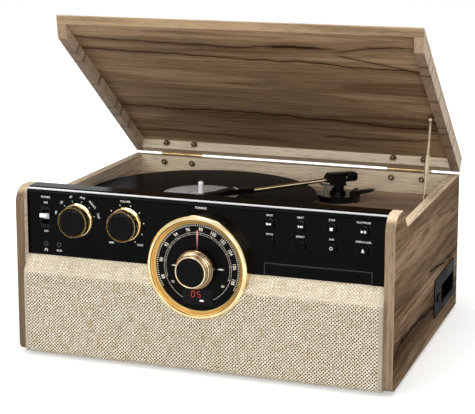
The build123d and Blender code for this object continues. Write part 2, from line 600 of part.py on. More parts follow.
# ================================================================ record player
platter_top = RECORD_TOP - RECORD_T - MAT_T
chassis_top = DECK_TOP + CHASSIS_T
chassis = turned_z([(SPINDLE_R + RUN_FIT, deck_low - 10), (sleeve_r, deck_low - 10), (sleeve_r, DECK_TOP),
                    (CHASSIS_R, DECK_TOP), (CHASSIS_R, chassis_top - 0.8), (CHASSIS_R - 0.8, chassis_top),
                    (sleeve_r, chassis_top), (sleeve_r, chassis_top + 1), (SPINDLE_R + RUN_FIT, chassis_top + 1)])
chassis = Pos(SPINDLE_X, SPINDLE_Y, 0) * chassis
chassis -= rod_z(motor_x, motor_y, PULLEY_R + 2, DECK_TOP - 1, chassis_top + 1)
save("turntable_chassis", chassis)

skirt_low = platter_top - PLATTER_SKIRT
web_low = platter_top - 1.8
platter = turned_z([(0, deck_low - 9), (SPINDLE_R - 0.6, deck_low - 9), (SPINDLE_R, deck_low - 8),
                    (SPINDLE_R, chassis_top + 1.4), (DRIVE_RIM_R, chassis_top + 1.4), (DRIVE_RIM_R, web_low),
                    (PLATTER_R - 3, web_low), (PLATTER_R - 3, skirt_low), (PLATTER_R - 0.6, skirt_low),
                    (PLATTER_R, skirt_low + 0.6), (PLATTER_R, platter_top - 1), (PLATTER_R - 1, platter_top),
                    (SPINDLE_R, platter_top), (SPINDLE_R, SPINDLE_TOP - 2), (SPINDLE_R - 0.5, SPINDLE_TOP - 0.7),
                    (SPINDLE_R - 1.6, SPINDLE_TOP), (0, SPINDLE_TOP)], SPINDLE_X, SPINDLE_Y)
save("platter", platter)
mat_top = platter_top + MAT_T
mat = turned_z([(SPINDLE_R, platter_top), (MAT_R, platter_top), (MAT_R, mat_top - 0.6),
                (MAT_R - 0.6, mat_top), (SPINDLE_R, mat_top)], SPINDLE_X, SPINDLE_Y)
save("platter_mat", mat)
record = turned_z([(SPINDLE_R, mat_top), (RECORD_R - 0.6, mat_top), (RECORD_R, mat_top + 0.6),
                   (RECORD_R, RECORD_TOP - 0.6), (RECORD_R - 0.6, RECORD_TOP), (SPINDLE_R, RECORD_TOP)],
                  SPINDLE_X, SPINDLE_Y)
save("record", record)

belt_z = (web_low - 0.3 - BELT_H, web_low - 0.3)
pulley_low = chassis_top + 0.6
pulley = turned_z([(0, deck_low - 2.5), (1.5, deck_low - 2.5), (1.5, pulley_low), (PULLEY_R, pulley_low),
                   (PULLEY_R, belt_z[1] - 0.1), (0, belt_z[1] - 0.1)], motor_x, motor_y)
save("motor_pulley", pulley)
motor = rod_z(motor_x, motor_y, MOTOR_R, deck_low - 26, deck_low)
motor -= rod_z(motor_x, motor_y, 1.5 + RUN_FIT, deck_low - 3, deck_low + 1)
save("motor", motor)


def belt_loop(slack):
    """Outline round the drive rim and the pulley, this far outside both."""
    big = Pos(SPINDLE_X, SPINDLE_Y) * Circle(DRIVE_RIM_R + slack)
    small = Pos(motor_x, motor_y) * Circle(PULLEY_R + slack)
    return make_hull(big.edges() + small.edges())


belt = Pos(0, 0, belt_z[0]) * extrude(belt_loop(0.25 + BELT_T) - belt_loop(0.25), BELT_H)
save("drive_belt", belt)

speed = block(stem_x, (SPEED_Y - 1, SPEED_Y + 1), (deck_low - 2, DECK_TOP + FIT))
speed += block((SPEED_X - 6, SPEED_X + 6), (SPEED_Y - 4, SPEED_Y + 4), (DECK_TOP + FIT, DECK_TOP + 2.3))
speed += across([(SPEED_Y - 3, DECK_TOP + 2.3), (SPEED_Y + 3, DECK_TOP + 2.3), (SPEED_Y + 1.6, DECK_TOP + 8),
                 (SPEED_Y - 1.6, DECK_TOP + 8)], SPEED_X - 3, SPEED_X + 3)
speed += block((SPEED_X - 5, SPEED_X + 5), (SPEED_Y - 3, SPEED_Y + 3), (deck_low - 2.2, deck_low - FIT))
save("speed_lever", speed)

# ================================================================ tonearm
base_top = DECK_TOP + ARM_BASE_H
arm_place = Pos(ARM_X, ARM_Y, 0) * Rot(0, 0, ARM_HEADING)
cue_mid = (CUE_SPAN[0] + CUE_SPAN[1]) / 2
post_x = ARM_X + CUE_R * cos(radians(cue_mid))
post_y = ARM_Y + CUE_R * sin(radians(cue_mid))
arm_base = turned_z([(0, DECK_TOP), (ARM_BASE_R, DECK_TOP), (ARM_BASE_R, base_top - 1.5),
                     (ARM_BASE_R - 1.5, base_top), (0, base_top)], ARM_X, ARM_Y - 3)
lug_x = (ARM_X + 10, CUE_LEVER_X + 5)
lug_y = (CUE_LEVER_Y - 8, CUE_LEVER_Y + 8)
arm_base += block(lug_x, lug_y, (DECK_TOP, base_top - 2))
cheeks = block((CUE_LEVER_X - 5, CUE_LEVER_X + 5), lug_y, (base_top - 2, CUE_LEVER_Z + 1))
cheeks += rod_y(CUE_LEVER_X, CUE_LEVER_Z, 5.0, *lug_y)
lever_w = 8.0
gap_y = (CUE_LEVER_Y - lever_w / 2 - FIT, CUE_LEVER_Y + lever_w / 2 + FIT)
cheeks -= block((CUE_LEVER_X - 8, CUE_LEVER_X + 8), gap_y, (base_top - 2, CUE_LEVER_Z + 8))
arm_base += cheeks
arm_base -= rod_z(ARM_X, ARM_Y, TURRET_PIN_R + RUN_FIT, DECK_TOP - 1, base_top + 1)
arm_base -= rod_z(post_x, post_y, 2.0 + RUN_FIT, DECK_TOP - 1, base_top + 1)
arm_base -= rod_y(CUE_LEVER_X, CUE_LEVER_Z, 1.5 + RUN_FIT, lug_y[0] + 1.5, lug_y[1] - 1.5)
save("tonearm_base", arm_base)

# Turret that turns with the arm: pin in the base, column, fork either side of the housing.
fork_in = HOUSING_W / 2 + FIT
fork_out = fork_in + CHEEK_T
fork_floor = HOUSING_Z[0] - 2.4
turret = turned_z([(0, DECK_TOP + 0.5), (TURRET_PIN_R, DECK_TOP + 0.5), (TURRET_PIN_R, base_top + FIT),
                   (TURRET_R, base_top + FIT), (TURRET_R, base_top + 3), (TURRET_R - 2.5, base_top + 5),
                   (TURRET_R - 2.5, fork_floor - 2.5), (0, fork_floor - 2.5)])
turret += block((-9, 9), (-fork_out, fork_out), (fork_floor - 2.5, fork_floor))
fork_face = make_face(Polyline((-9, fork_floor), (9, fork_floor), (6, ARM_Z + 4), (-6, ARM_Z + 4), close=True))
fork = extrude(Plane.XZ * fork_face, CHEEK_T)
turret += Pos(0, fork_out, 0) * fork
turret += Pos(0, -fork_in, 0) * fork
turret -= rod_y(0, ARM_Z, 1.5 + RUN_FIT, -fork_out - 1, fork_out + 1)
save("tonearm_turret", arm_place * turret)


def tube_at(x):
    return ARM_Z - ARM_SLOPE * x


tube = rod((HOUSING[1] - 8, 0, tube_at(HOUSING[1] - 8)), (TUBE_END, 0, tube_at(TUBE_END)), TUBE_R)
housing_face = make_face(Polyline((HOUSING[0], HOUSING_Z[0]), (HOUSING[0], HOUSING_Z[1] - 2),
                                  (HOUSING[0] + 3, HOUSING_Z[1]), (HOUSING[1] - 4, HOUSING_Z[1]),
                                  (HOUSING[1], HOUSING_Z[1] - 5), (HOUSING[1], HOUSING_Z[0]), close=True))
housing = Pos(0, HOUSING_W / 2, 0) * extrude(Plane.XZ * housing_face, HOUSING_W)
housing += rod_y(0, ARM_Z, 1.5, -fork_out, fork_out)
# The rear half holds the counterweight, wider than the fork and clear behind it.
weight = block((HOUSING[0] - 1, -10.0), (-fork_out, fork_out), (HOUSING_Z[0] + 1, HOUSING_Z[1] - 1))
housing += fillet(weight.edges().filter_by(Axis.X), 2.0)
housing -= tube
save("tonearm_housing", arm_place * housing)
save("tonearm_tube", arm_place * tube)

head_top = RECORD_TOP + 9.0
head_low = RECORD_TOP + 1.2
nose_start = STYLUS - 20.0
tip_top = RECORD_TOP + 4.4
head_face = make_face(Polyline((HEAD_START, tube_at(HEAD_START) - 2.0), (HEAD_START, head_top),
                               (nose_start - 14, head_top - 0.4), (nose_start, head_top - 2.4),
                               (HEAD_END, tip_top), (HEAD_END, tip_top - 2.2), (STYLUS + 3, head_low),
                               (STYLUS - 26, head_low), (STYLUS - 36, tube_at(STYLUS - 36) - 0.6), close=True))
head = Pos(0, HEAD_W / 2, 0) * extrude(Plane.XZ * head_face, HEAD_W)
for sign in (-1, 1):
    cheek = sorted((sign * (HEAD_W / 2 - 3), sign * HEAD_W))
    head -= block((nose_start, HEAD_END + 1), cheek, (head_low - 9, head_top + 3))
head += turned_z([(0, RECORD_TOP + 0.3), (0.3, RECORD_TOP + 0.3), (1.4, head_low + 0.2), (0, head_low + 0.2)],
                 STYLUS, 0)
finger_low = head_top - 1.4
finger = make_face(Polyline((STYLUS - 26, finger_low), (STYLUS - 14, finger_low - 2),
                            (STYLUS - 14, finger_low - 0.8), (STYLUS - 26, finger_low + 1.2), close=True))
head += Pos(0, HEAD_W / 2 + 5, 0) * extrude(Plane.XZ * finger, 6)
head -= tube
save("headshell", arm_place * head)

# Cueing: lever, and a lift bar on a post that raises the tube.
lever = rod_y(0, 0, 4.0, -lever_w / 2, lever_w / 2) + rod_y(0, 0, 1.5, -lever_w / 2 - 2, lever_w / 2 + 2)
blade_face = make_face(Polyline((0, -2.6), (CUE_LEVER_LENGTH - 6, -2.0), (CUE_LEVER_LENGTH, -0.6),
                                (CUE_LEVER_LENGTH, 0.8), (CUE_LEVER_LENGTH - 5, 2.6), (0, 3.4), close=True))
lever += Pos(0, lever_w / 2, 0) * extrude(Plane.XZ * blade_face, lever_w)
lever = Rot(0, -CUE_LEVER_RISE, 0) * lever
save("cue_lever", Pos(CUE_LEVER_X, CUE_LEVER_Y, CUE_LEVER_Z) * lever)

bar_top = tube_at(CUE_R + CUE_BAR_W / 2) - TUBE_R - 0.45
arc_r0 = CUE_R - CUE_BAR_W / 2
arc_r1 = CUE_R + CUE_BAR_W / 2
bar_face = Plane.XY * (Circle(arc_r1) - Circle(arc_r0))
reach = 40.0
span = [(reach * cos(radians(a)), reach * sin(radians(a))) for a in (CUE_SPAN[0], cue_mid, CUE_SPAN[1])]
bar_face &= make_face(Polyline((0, 0), *span, close=True))
bar = Pos(ARM_X, ARM_Y, bar_top - 2.2) * extrude(bar_face, 2.2)
bar += rod_z(post_x, post_y, 2.0, DECK_TOP + 1, bar_top - 2.2)
save("cue_platform", bar)

rest_x = ARM_X + REST_REACH * cos(radians(ARM_HEADING + arm_out))
rest_y = ARM_Y + REST_REACH * sin(radians(ARM_HEADING + arm_out))
rest_z = tube_at(REST_REACH) - TUBE_R - 0.3
rest = turned_z([(0, DECK_TOP), (6, DECK_TOP), (6, DECK_TOP + 1.5), (3, DECK_TOP + 3), (3, rest_z - 6),
                 (0, rest_z - 6)], rest_x + 2, rest_y)
horn_x = rest_x + TUBE_R + 1.0
cradle = [(rest_x - 3.0, rest_z - 6), (rest_x - 3.4, rest_z), (horn_x, rest_z), (horn_x + 0.4, rest_z + 5)]
cradle += [(horn_x + 3.0, rest_z + 5), (horn_x + 3.0, rest_z - 2), (horn_x, rest_z - 6)]
cradle_face = make_face(Polyline(*cradle, close=True))
rest += Pos(0, rest_y + 2, 0) * extrude(Plane.XZ * cradle_face, 4.0)
save("arm_rest", rest)

# ================================================================ cassette slot
flange_x = (half, half + BEZEL_T)
bezel = block(flange_x, BEZEL_Y, BEZEL_Z)
bezel = fillet(bezel.edges().filter_by(Axis.X), 3.0)
well_x0 = half - WELL_DEPTH
well = block((well_x0, half), bezel_well_y, bezel_well_z)
key_box = block((inner, half), key_box_y, key_box_z)
bezel += well + key_box
bezel -= block((well_x0 + WELL_WALL, half + BEZEL_T + 1), SLOT_Y, SLOT_Z)
key_y = (KEY_Y - KEY_W / 2, KEY_Y + KEY_W / 2)
key_z = (KEY_Z - KEY_H / 2, KEY_Z + KEY_H / 2)
bezel -= block((inner + 2, half), grown(key_y, 2.5), grown(key_z, 2.5))
bezel -= block((half - 1, half + BEZEL_T + 1), grown(key_y, FIT), grown(key_z, FIT))
flap_x = half + BEZEL_T - FLAP_SET - FLAP_T / 2
flap_z = SLOT_Z[1] - 1.7
pin_reach = 1.2
bezel -= Pos(flap_x, (SLOT_Y[0] + SLOT_Y[1]) / 2, flap_z) * Rot(90, 0, 0) * Cylinder(
    0.8 + RUN_FIT, SLOT_Y[1] - SLOT_Y[0] + 2 * pin_reach)
save("cassette_deck", bezel)

flap_y = (SLOT_Y[0] + 0.4, SLOT_Y[1] - 0.4)
flap = block((flap_x - FLAP_T / 2, flap_x + FLAP_T / 2), flap_y, (SLOT_Z[0] + 0.4, flap_z))
flap += rod_y(flap_x, flap_z, 1.2, *flap_y)
flap += rod_y(flap_x, flap_z, 0.8, SLOT_Y[0] - pin_reach + 0.2, SLOT_Y[1] + pin_reach - 0.2)
save("cassette_flap", flap)

key = block((half - 0.5 - FIT, half + BEZEL_T + KEY_PROUD), key_y, key_z)
key = fillet(key.edges().filter_by(Axis.X), 1.0)
key += block((half - FIT - 1.6, half - FIT), grown(key_y, 2.0), grown(key_z, 2.0))
save("cassette_key", key)

# ================================================================ back terminals
plate_y = (DEPTH, DEPTH + 1.5)
plate = block((TERMINAL_X - TERMINAL_W / 2, TERMINAL_X + TERMINAL_W / 2), plate_y,
              (TERMINAL_Z - TERMINAL_H / 2, TERMINAL_Z + TERMINAL_H / 2))
plate = fillet(plate.edges().filter_by(Axis.Y), 3.0)
rca_xs = (TERMINAL_X - 28, TERMINAL_X - 28 + RCA_PITCH)
for x in rca_xs:
    plate += rod_y(x, TERMINAL_Z, RCA_R, plate_y[1], plate_y[1] + 8)
    plate += rod_y(x, TERMINAL_Z, 5.5, plate_y[1], plate_y[1] + 1.5)
    plate -= rod_y(x, TERMINAL_Z, 1.6, plate_y[1] - 1, plate_y[1] + 9)
dc_x = TERMINAL_X + 30
plate += rod_y(dc_x, TERMINAL_Z, 6.0, DEPTH - 10, DEPTH)
plate -= rod_y(dc_x, TERMINAL_Z, 3.0, DEPTH - 8, DEPTH + 3)
plate += rod_y(dc_x, TERMINAL_Z, 1.0, DEPTH - 8.5, DEPTH + 1)
plate += block((TERMINAL_X - hole_w + 2, TERMINAL_X + hole_w - 2), (DEPTH - 14, DEPTH - 10),
               (TERMINAL_Z - hole_h + 2, TERMINAL_Z + hole_h - 2))
for x in (TERMINAL_X - hole_w + 5, TERMINAL_X + hole_w - 5):
    plate += block((x - 2, x + 2), (DEPTH - 10, DEPTH), (TERMINAL_Z - 4, TERMINAL_Z + 4))
save("terminal_plate", plate)

# ================================================================ hinges
def hinge_half(sign):
    """Leaf, knuckles and through bolts of one half; sign is 1 for the lid and -1 for the cabinet."""
    fifth = HINGE_W / 5
    own = (0, 2, 4) if sign < 0 else (1, 3)
    edge = hinge_z + sign * 1.2
    tip = hinge_z + sign * LEAF_H
    leaf = block((-HINGE_W / 2, HINGE_W / 2), (DEPTH, DEPTH + LEAF_T), (min(edge, tip), max(edge, tip)))
    corners = leaf.edges().filter_by(Axis.Y).sort_by(Axis.Z)
    leaf = fillet(corners[:2] if sign < 0 else corners[-2:], 3.0)
    gap = 0.15
    for k in own:
        x0 = -HINGE_W / 2 + k * fifth + (gap if k > 0 else 0)
        x1 = -HINGE_W / 2 + (k + 1) * fifth - (gap if k < 4 else 0)
        leaf += rod_x(hinge_y, hinge_z, HINGE_R, x0, x1)
        web_z = sorted((hinge_z, edge + sign * 0.2))
        leaf += block((x0, x1), (DEPTH + 0.1, DEPTH + LEAF_T), web_z)
    for k in range(5):
        if k not in own:
            x0 = -HINGE_W / 2 + k * fifth - gap
            leaf -= block((x0, x0 + fifth + 2 * gap), (DEPTH - 1, hinge_y + 4),
                          (hinge_z - HINGE_R - 0.2, hinge_z + HINGE_R + 0.2))
    if sign < 0:
        leaf += rod_x(hinge_y, hinge_z, HINGE_PIN_R, -HINGE_W / 2, HINGE_W / 2)
    else:
        leaf -= rod_x(hinge_y, hinge_z, HINGE_PIN_R + RUN_FIT, -HINGE_W, HINGE_W)
    bolt_z = hinge_z + sign * HINGE_BOLT_Z
    for x in (-HINGE_BOLT_X, HINGE_BOLT_X):
        leaf += rod_y(x, bolt_z, BOLT_R, rear - NUT_T - 1.5, DEPTH)
        leaf += turned_y([(0, DEPTH + LEAF_T), (3.4, DEPTH + LEAF_T), (2.6, DEPTH + LEAF_T + 1.3),
                          (0, DEPTH + LEAF_T + 1.8)], x, bolt_z)
        leaf += rod_y(x, bolt_z, NUT_R + 1.0, rear - 0.8, rear)
        nut = extrude(Plane.XZ * RegularPolygon(NUT_R, 6), NUT_T)
        leaf += Pos(x, rear - 0.8, bolt_z) * nut
    return leaf


base_half = hinge_half(-1)
lid_half = hinge_half(1)
save("hinge_base_leaves", *[Pos(s * HINGE_X, 0, 0) * base_half for s in (-1, 1)])


# ================================================================ lid, drawn closed and then opened
def opened(shape):
    return shape.rotate(lid_axis, -LID_OPEN)


top_profile = [(nose_sum - lid_high, lid_high), (DEPTH, lid_high), (DEPTH, lid_under)]
top_profile += [(nose_sum - lid_under, lid_under)]
lid_top = across(top_profile, -half, half)
lid_top = fillet(lid_top.faces().sort_by(Axis.Z)[-1].edges(), EDGE_R)
save("lid_top_panel", opened(lid_top))
rim_profile = [(nose_sum - lid_under, lid_under), (DEPTH, lid_under), (DEPTH, lid_low)]
rim_profile += [(nose_sum - lid_low, lid_low)]
save("lid_rim_left", opened(across(rim_profile, -half, -inner)))
save("lid_rim_right", opened(across(rim_profile, inner, half)))
rim_rear = block((-inner, inner), (rear, DEPTH), (lid_low, lid_under))
for x in bolt_xs:
    rim_rear -= rod_y(x, hinge_z + HINGE_BOLT_Z, BOLT_R, rear - 1, DEPTH + 1)
save("lid_rim_rear", opened(rim_rear))
save("hinge_lid_leaves", *[opened(Pos(s * HINGE_X, 0, 0) * lid_half) for s in (-1, 1)])

# ================================================================ lid stay
# The rod hangs from the lid's right rim; its lower pin slides in a curved slot on the side panel.
stay_z = lid_under - STAY_DROP
stay_x = inner - STAY_IN
pivot_open = swung(STAY_Y, stay_z, -LID_OPEN)


def pin_place(lid_angle, lean):
    """Lower pin when the lid is this far open and the rod leans this far forward."""
    y, z = swung(STAY_Y, stay_z, -lid_angle)
    return y - STAY_LENGTH * sin(radians(lean)), z - STAY_LENGTH * cos(radians(lean))


pin_open = pin_place(LID_OPEN, STAY_LEAN)
lean_closed = degrees(acos((stay_z - pin_open[1]) / STAY_LENGTH))
travel = [t / 6 for t in range(7)]
pins = [pin_place(LID_OPEN * (1 - t), STAY_LEAN + (lean_closed - STAY_LEAN) * t) for t in travel]
stay_ratio = -(LID_OPEN + lean_closed - STAY_LEAN) / LID_OPEN

eye_half = 2.0
bracket_x = (stay_x + eye_half + FIT, inner)
bracket = rod_x(STAY_Y, stay_z, STAY_BRACKET_R, bracket_x[0] + 1.5, bracket_x[1])
bracket += rod_x(STAY_Y, stay_z, STAY_EYE_R, bracket_x[0], bracket_x[0] + 1.5)
bracket += rod_x(STAY_Y, stay_z, 1.5, stay_x - eye_half - FIT, bracket_x[0])
bracket += rod_x(STAY_Y, stay_z, 3.0, stay_x - eye_half - FIT - 1.2, stay_x - eye_half - FIT)
save("stay_bracket", opened(bracket))

arm = rod_z(0, 0, STAY_ROD_R, -STAY_LENGTH + 2.5, -STAY_EYE_R + 0.8)
arm += rod_x(0, 0, STAY_EYE_R, -eye_half, eye_half)
arm += rod_z(0, 0, STAY_SLEEVE_R, -STAY_SLEEVE[1], -STAY_SLEEVE[0])
arm += rod_x(0, -STAY_LENGTH, STAY_EYE_R, -eye_half, eye_half)
track_x = (stay_x + eye_half + 0.5, stay_x + eye_half + 0.5 + TRACK_T)
arm += rod_x(0, -STAY_LENGTH, STAY_PIN_R, eye_half, track_x[1] - stay_x + 0.8)
arm -= rod_x(0, 0, 1.5 + RUN_FIT, -eye_half - 1, eye_half + 1)
save("stay_arm", Pos(stay_x, *pivot_open) * Rot(-STAY_LEAN, 0, 0) * arm)

slot_r = STAY_PIN_R + 0.8
arcs = [ThreePointArc(*pins[k:k + 3]) for k in (0, 2, 4)]
slot = Sketch() + [SlotArc(a, 2 * slot_r) for a in arcs]
strip = Sketch() + [SlotArc(a, 2 * (slot_r + TRACK_EDGE)) for a in arcs]
track = extrude(Plane.YZ.offset(track_x[0]) * (strip - slot), TRACK_T)
for (y, z), out in ((pins[0], 1), (pins[-1], -1)):
    centre = y + out * (slot_r + TRACK_EDGE / 2)
    track += block((track_x[1], inner), (centre - 1.5, centre + 1.5), (z - 3.5, z + 3.5))
save("stay_track", track)

# ---------------------------------------------------------------- joint places, for the record
print("origin_y", round(origin_y, 4))
print("hinge", round(hinge_y - origin_y, 3), round(hinge_z + FOOT_H, 3))
print("stay pivot", [round(v, 3) for v in (stay_x, pivot_open[0] - origin_y, pivot_open[1] + FOOT_H)])
print("stay lean closed", round(lean_closed, 3), "ratio", round(stay_ratio, 4))
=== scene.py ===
import json
from math import atan2, cos, pi, radians, sin

import bmesh
import bpy
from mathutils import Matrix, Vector


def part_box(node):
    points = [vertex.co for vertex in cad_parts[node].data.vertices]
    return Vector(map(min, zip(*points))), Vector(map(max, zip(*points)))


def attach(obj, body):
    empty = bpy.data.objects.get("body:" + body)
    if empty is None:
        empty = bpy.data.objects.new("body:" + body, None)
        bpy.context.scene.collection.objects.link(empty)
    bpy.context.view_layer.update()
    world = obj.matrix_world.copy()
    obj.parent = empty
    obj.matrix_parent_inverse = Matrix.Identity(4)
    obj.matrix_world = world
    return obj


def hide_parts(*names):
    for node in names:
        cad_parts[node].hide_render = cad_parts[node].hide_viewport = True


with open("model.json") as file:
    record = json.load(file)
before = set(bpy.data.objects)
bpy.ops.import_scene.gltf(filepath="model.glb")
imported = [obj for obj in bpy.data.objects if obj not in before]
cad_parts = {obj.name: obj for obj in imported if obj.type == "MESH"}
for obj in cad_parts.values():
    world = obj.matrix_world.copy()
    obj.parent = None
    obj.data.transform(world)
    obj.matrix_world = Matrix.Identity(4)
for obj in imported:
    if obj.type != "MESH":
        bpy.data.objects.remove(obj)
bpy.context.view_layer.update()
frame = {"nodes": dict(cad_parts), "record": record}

node = frame["nodes"]

# ------------ side, rear and deck boards
# Fibreboard wrapped in grey-brown walnut foil, butted and screwed together. The foil is satin, with
# long wandering figure, dark cracks and fine pores along each board. The edges have paler banding, and
# some faces carry painted light and shade, given by the way they face.


def linear(colour):
    """Turns a hex colour as seen on screen into the linear values that a shader takes."""
    channels = [int(colour[i:i + 2], 16) / 255 for i in (1, 3, 5)]
    return [c / 12.92 if c <= 0.04045 else ((c + 0.055) / 1.055) ** 2.4 for c in channels] + [1]


def add(owner, kind, inputs=(), operation=None, **settings):
    """Adds a node with its settings. inputs are a dict by socket, or values in the sockets' order. A value
    is a number, a hex colour, an output to link, or a node whose result is linked. Mix mixes colours
    unless told otherwise. MapRange takes a value, the two ends it lies between and what they become."""
    made = owner.node_tree.nodes.new("ShaderNode" + kind)
    if operation:
        made.operation = operation
    if kind == "Mix":
        settings = {"data_type": "RGBA", **settings}
    for name, value in settings.items():
        setattr(made, name, value)
    for socket, value in inputs.items() if isinstance(inputs, dict) else enumerate(inputs):
        if isinstance(value, bpy.types.Node):
            value = next(result for result in value.outputs if result.enabled)
        if isinstance(value, bpy.types.NodeSocket):
            owner.node_tree.links.new(value, made.inputs[socket])
        else:
            made.inputs[socket].default_value = linear(value) if isinstance(value, str) else value
    return made


def new_material(name):
    """Starts a material. Gives it and the place of each point on its piece."""
    material = bpy.data.materials.new(name)
    material.use_nodes = True
    material.node_tree.nodes.clear()
    return material, add(material, "TexCoord").outputs["Object"]


def finish(material, kind, inputs):
    """Adds the node that makes the surface, and the output. Gives the material."""
    add(material, "OutputMaterial", {"Surface": add(material, kind, inputs)})
    return material


def dress(material, *names):
    """Gives CAD nodes their finished material."""
    for name in names:
        node[name].data.materials.clear()
        node[name].data.materials.append(material)


def walnut_foil(
        name, along, shift, tones, faces=(), lean=0, veins=(), vein_axis=2, level=0.4, wrapped=False):
    """Foil with its grain along axis 0, 1 or 2, moved by shift. tones are crack, dark and light.
    faces are (direction, colour, share): the faces that point this way take the colour. This is paler edge
    banding, and also painted light and shade where a side is made lighter or darker for how the light
    falls on it. lean turns the pattern with a tilted board. veins are cracks along the grain: (start, end,
    place, slope, bend, half width), placed on vein_axis. level is the share of light that the foil mirrors.
    wrapped is True where a strip whose grain stands upright covers the front edge."""
    crack_tone, dark, light = tones
    wood, place = new_material(name)
    normal = place.node.outputs["Normal"]
    space = add(wood, "Mapping", {"Vector": place, "Rotation": (lean, 0, 0)})
    axes = add(wood, "SeparateXYZ", [space])
    if wrapped:
        swapped = add(wood, "CombineXYZ", [axes.outputs[0], axes.outputs[2], axes.outputs[1]])
        facing = add(wood, "VectorMath", [normal, (0, -1, 0)], "DOT_PRODUCT")
        front = add(wood, "Math", [facing, 0.6], "GREATER_THAN")
        space = add(wood, "Mix", {0: front, 4: space, 5: swapped}, data_type="VECTOR")

    def stretched(across, length):
        """Pattern space with this many cells a metre across the grain and along it."""
        scale = [across] * 3
        scale[along] = length
        moved = (shift, shift * 0.7, shift * 1.3)
        return add(wood, "Mapping", {"Vector": space, "Scale": scale, "Location": moved})

    # Figure: growth rings cut at a slant, as contour lines of a slow noise 40 mm wide and 450 mm long.
    slow = add(wood, "TexNoise", {
        "Vector": stretched(24, 2.2), "Scale": 1, "Detail": 2, "Roughness": 0.45, "Distortion": 0.35})
    bands = add(wood, "MapRange", [slow, 0.36, 0.64])
    tone = add(wood, "Mix", {0: bands, 6: dark, 7: light})
    steps = add(wood, "Math", [slow, 15], "MULTIPLY")
    ring = add(wood, "Math", [steps, 1], "PINGPONG")
    ring_line = add(wood, "MapRange", [ring, 0, 0.5, 0.55, 0])
    colour = add(wood, "Mix", {0: ring_line, 6: tone, 7: dark})
    # Faces by direction: paler edge banding, and painted light and shade on the sides listed with each
    # board.
    for direction, other, share in faces:
        facing = add(wood, "VectorMath", [normal, direction], "DOT_PRODUCT")
        banding_and_painted_light = add(wood, "MapRange", [facing, 0.55, 0.85, 0, share])
        colour = add(wood, "Mix", {0: banding_and_painted_light, 6: colour, 7: other})
    # Streaks: 2 to 4 mm wide and 80 mm long, some darker and some paler than the ground.
    streaks = add(wood, "TexNoise", {
        "Vector": stretched(300, 9), "Scale": 1, "Detail": 4, "Roughness": 0.65, "Distortion": 0.4})
    deep = add(wood, "MapRange", [streaks, 0.5, 0.72, 0, 0.75])
    pale = add(wood, "MapRange", [streaks, 0.5, 0.3, 0, 0.5])
    streaked = add(wood, "Mix", {0: deep, 6: colour, 7: dark})
    lifted = add(wood, "Mix", {0: pale, 6: streaked, 7: light})
    # Pores: dashes about 0.6 mm wide and 12 mm long.
    pores = add(wood, "TexNoise", {"Vector": stretched(1250, 70), "Scale": 1, "Detail": 2})
    pore = add(wood, "MapRange", [pores, 0.54, 0.72, 0, 0.45])
    colour = add(wood, "Mix", {0: pore, 6: lifted, 7: crack_tone})
    # Cracks: hair lines with a broader band of painted shade beside them, which wander a few millimetres
    # off their course.
    wander = add(wood, "TexNoise", {"Vector": stretched(11, 17), "Scale": 1, "Detail": 2.5})
    sway = add(wood, "Math", [wander, 0.5], "SUBTRACT")
    for start, end, middle, slope, bend, half in veins:
        ahead = add(wood, "Math", [axes.outputs[along], start], "SUBTRACT")
        curve = add(wood, "Math", [ahead, bend, slope], "MULTIPLY_ADD")
        course = add(wood, "Math", [ahead, curve, middle], "MULTIPLY_ADD")
        line = add(wood, "Math", [sway, 0.02, course], "MULTIPLY_ADD")
        gap = add(wood, "Math", [axes.outputs[vein_axis], line], "SUBTRACT")
        away = add(wood, "Math", [gap], "ABSOLUTE")
        core = add(wood, "MapRange", [away, half * 0.7, half * 1.5, 1, 0])
        # The broader band beside the crack is painted shade.
        crack_shade = add(wood, "MapRange", [away, 0, half * 7, 0.5, 0])
        both = add(wood, "Math", [core, crack_shade], "MAXIMUM")
        begun = add(wood, "MapRange", [axes.outputs[along], start, start + 0.015])
        ended = add(wood, "MapRange", [axes.outputs[along], end - 0.04, end, 1, 0])
        span = add(wood, "Math", [begun, ended], "MULTIPLY")
        if wrapped:
            span = add(wood, "Math", [span, front], "SUBTRACT", use_clamp=True)
        crack = add(wood, "Math", [both, span], "MULTIPLY")
        colour = add(wood, "Mix", {0: crack, 6: colour, 7: crack_tone})
    bump = add(wood, "Bump", {"Height": pore, "Strength": 0.25, "Distance": 0.0003}, invert=True)
    sheen = add(wood, "MapRange", [streaks, 0.3, 0.7, 0.5, 0.65])
    return finish(wood, "BsdfPrincipled", {
        "Base Color": colour, "IOR": 1.5, "Specular IOR Level": level, "Roughness": sheen, "Normal": bump})


side_veins = [
    (0, 0.3, 0.098, -0.13, 0.36, 0.0014), (-0.21, -0.1, 0.03, 0.33, 0, 0.0018),
    (-0.15, 0.08, 0.051, 0.03, -0.4, 0.0021)]
right_foil = walnut_foil(
    "walnut_foil_right_side", 1, 0, ("#150902", "#503a26", "#ac9072"),
    [((0, -1, 0), "#9a8770", 0.85), ((0, 0, 1), "#fbe2c0", 0.95)], veins=side_veins, level=0.004,
    wrapped=True)
dress(right_foil, "side_panel_right")
# Its front edge takes a darker colour than the right board's: painted shade.
left_foil = walnut_foil(
    "walnut_foil_left_side", 1, 2.3, ("#2c1d12", "#6a553f", "#a58d70"),
    [((0, -1, 0), "#66503a", 0.85), ((1, 0, 0), "#f8e6cf", 0.9), ((0, 0, 1), "#e0c6a4", 0.8)],
    veins=[(-0.19, 0.1, 0.07, 0.1, -0.5, 0.001)], level=0.3, wrapped=True)
dress(left_foil, "side_panel_left")
# The board's inner face, toward the front, takes a much paler colour: painted light.
rear_foil = walnut_foil(
    "walnut_foil_rear", 0, 3.1, ("#57422f", "#917a60", "#c4ad8d"), [((0, -1, 0), "#f3e2c6", 0.85)],
    veins=[(-0.24, 0.24, 0.09, -0.05, 0.15, 0.001), (-0.15, 0.24, 0.13, 0.02, 0.1, 0.0008)])
dress(rear_foil, "rear_panel")
deck_foil = walnut_foil("walnut_foil_deck", 0, 7.7, ("#4a3828", "#977c67", "#c8ad92"))
dress(deck_foil, "deck_board")

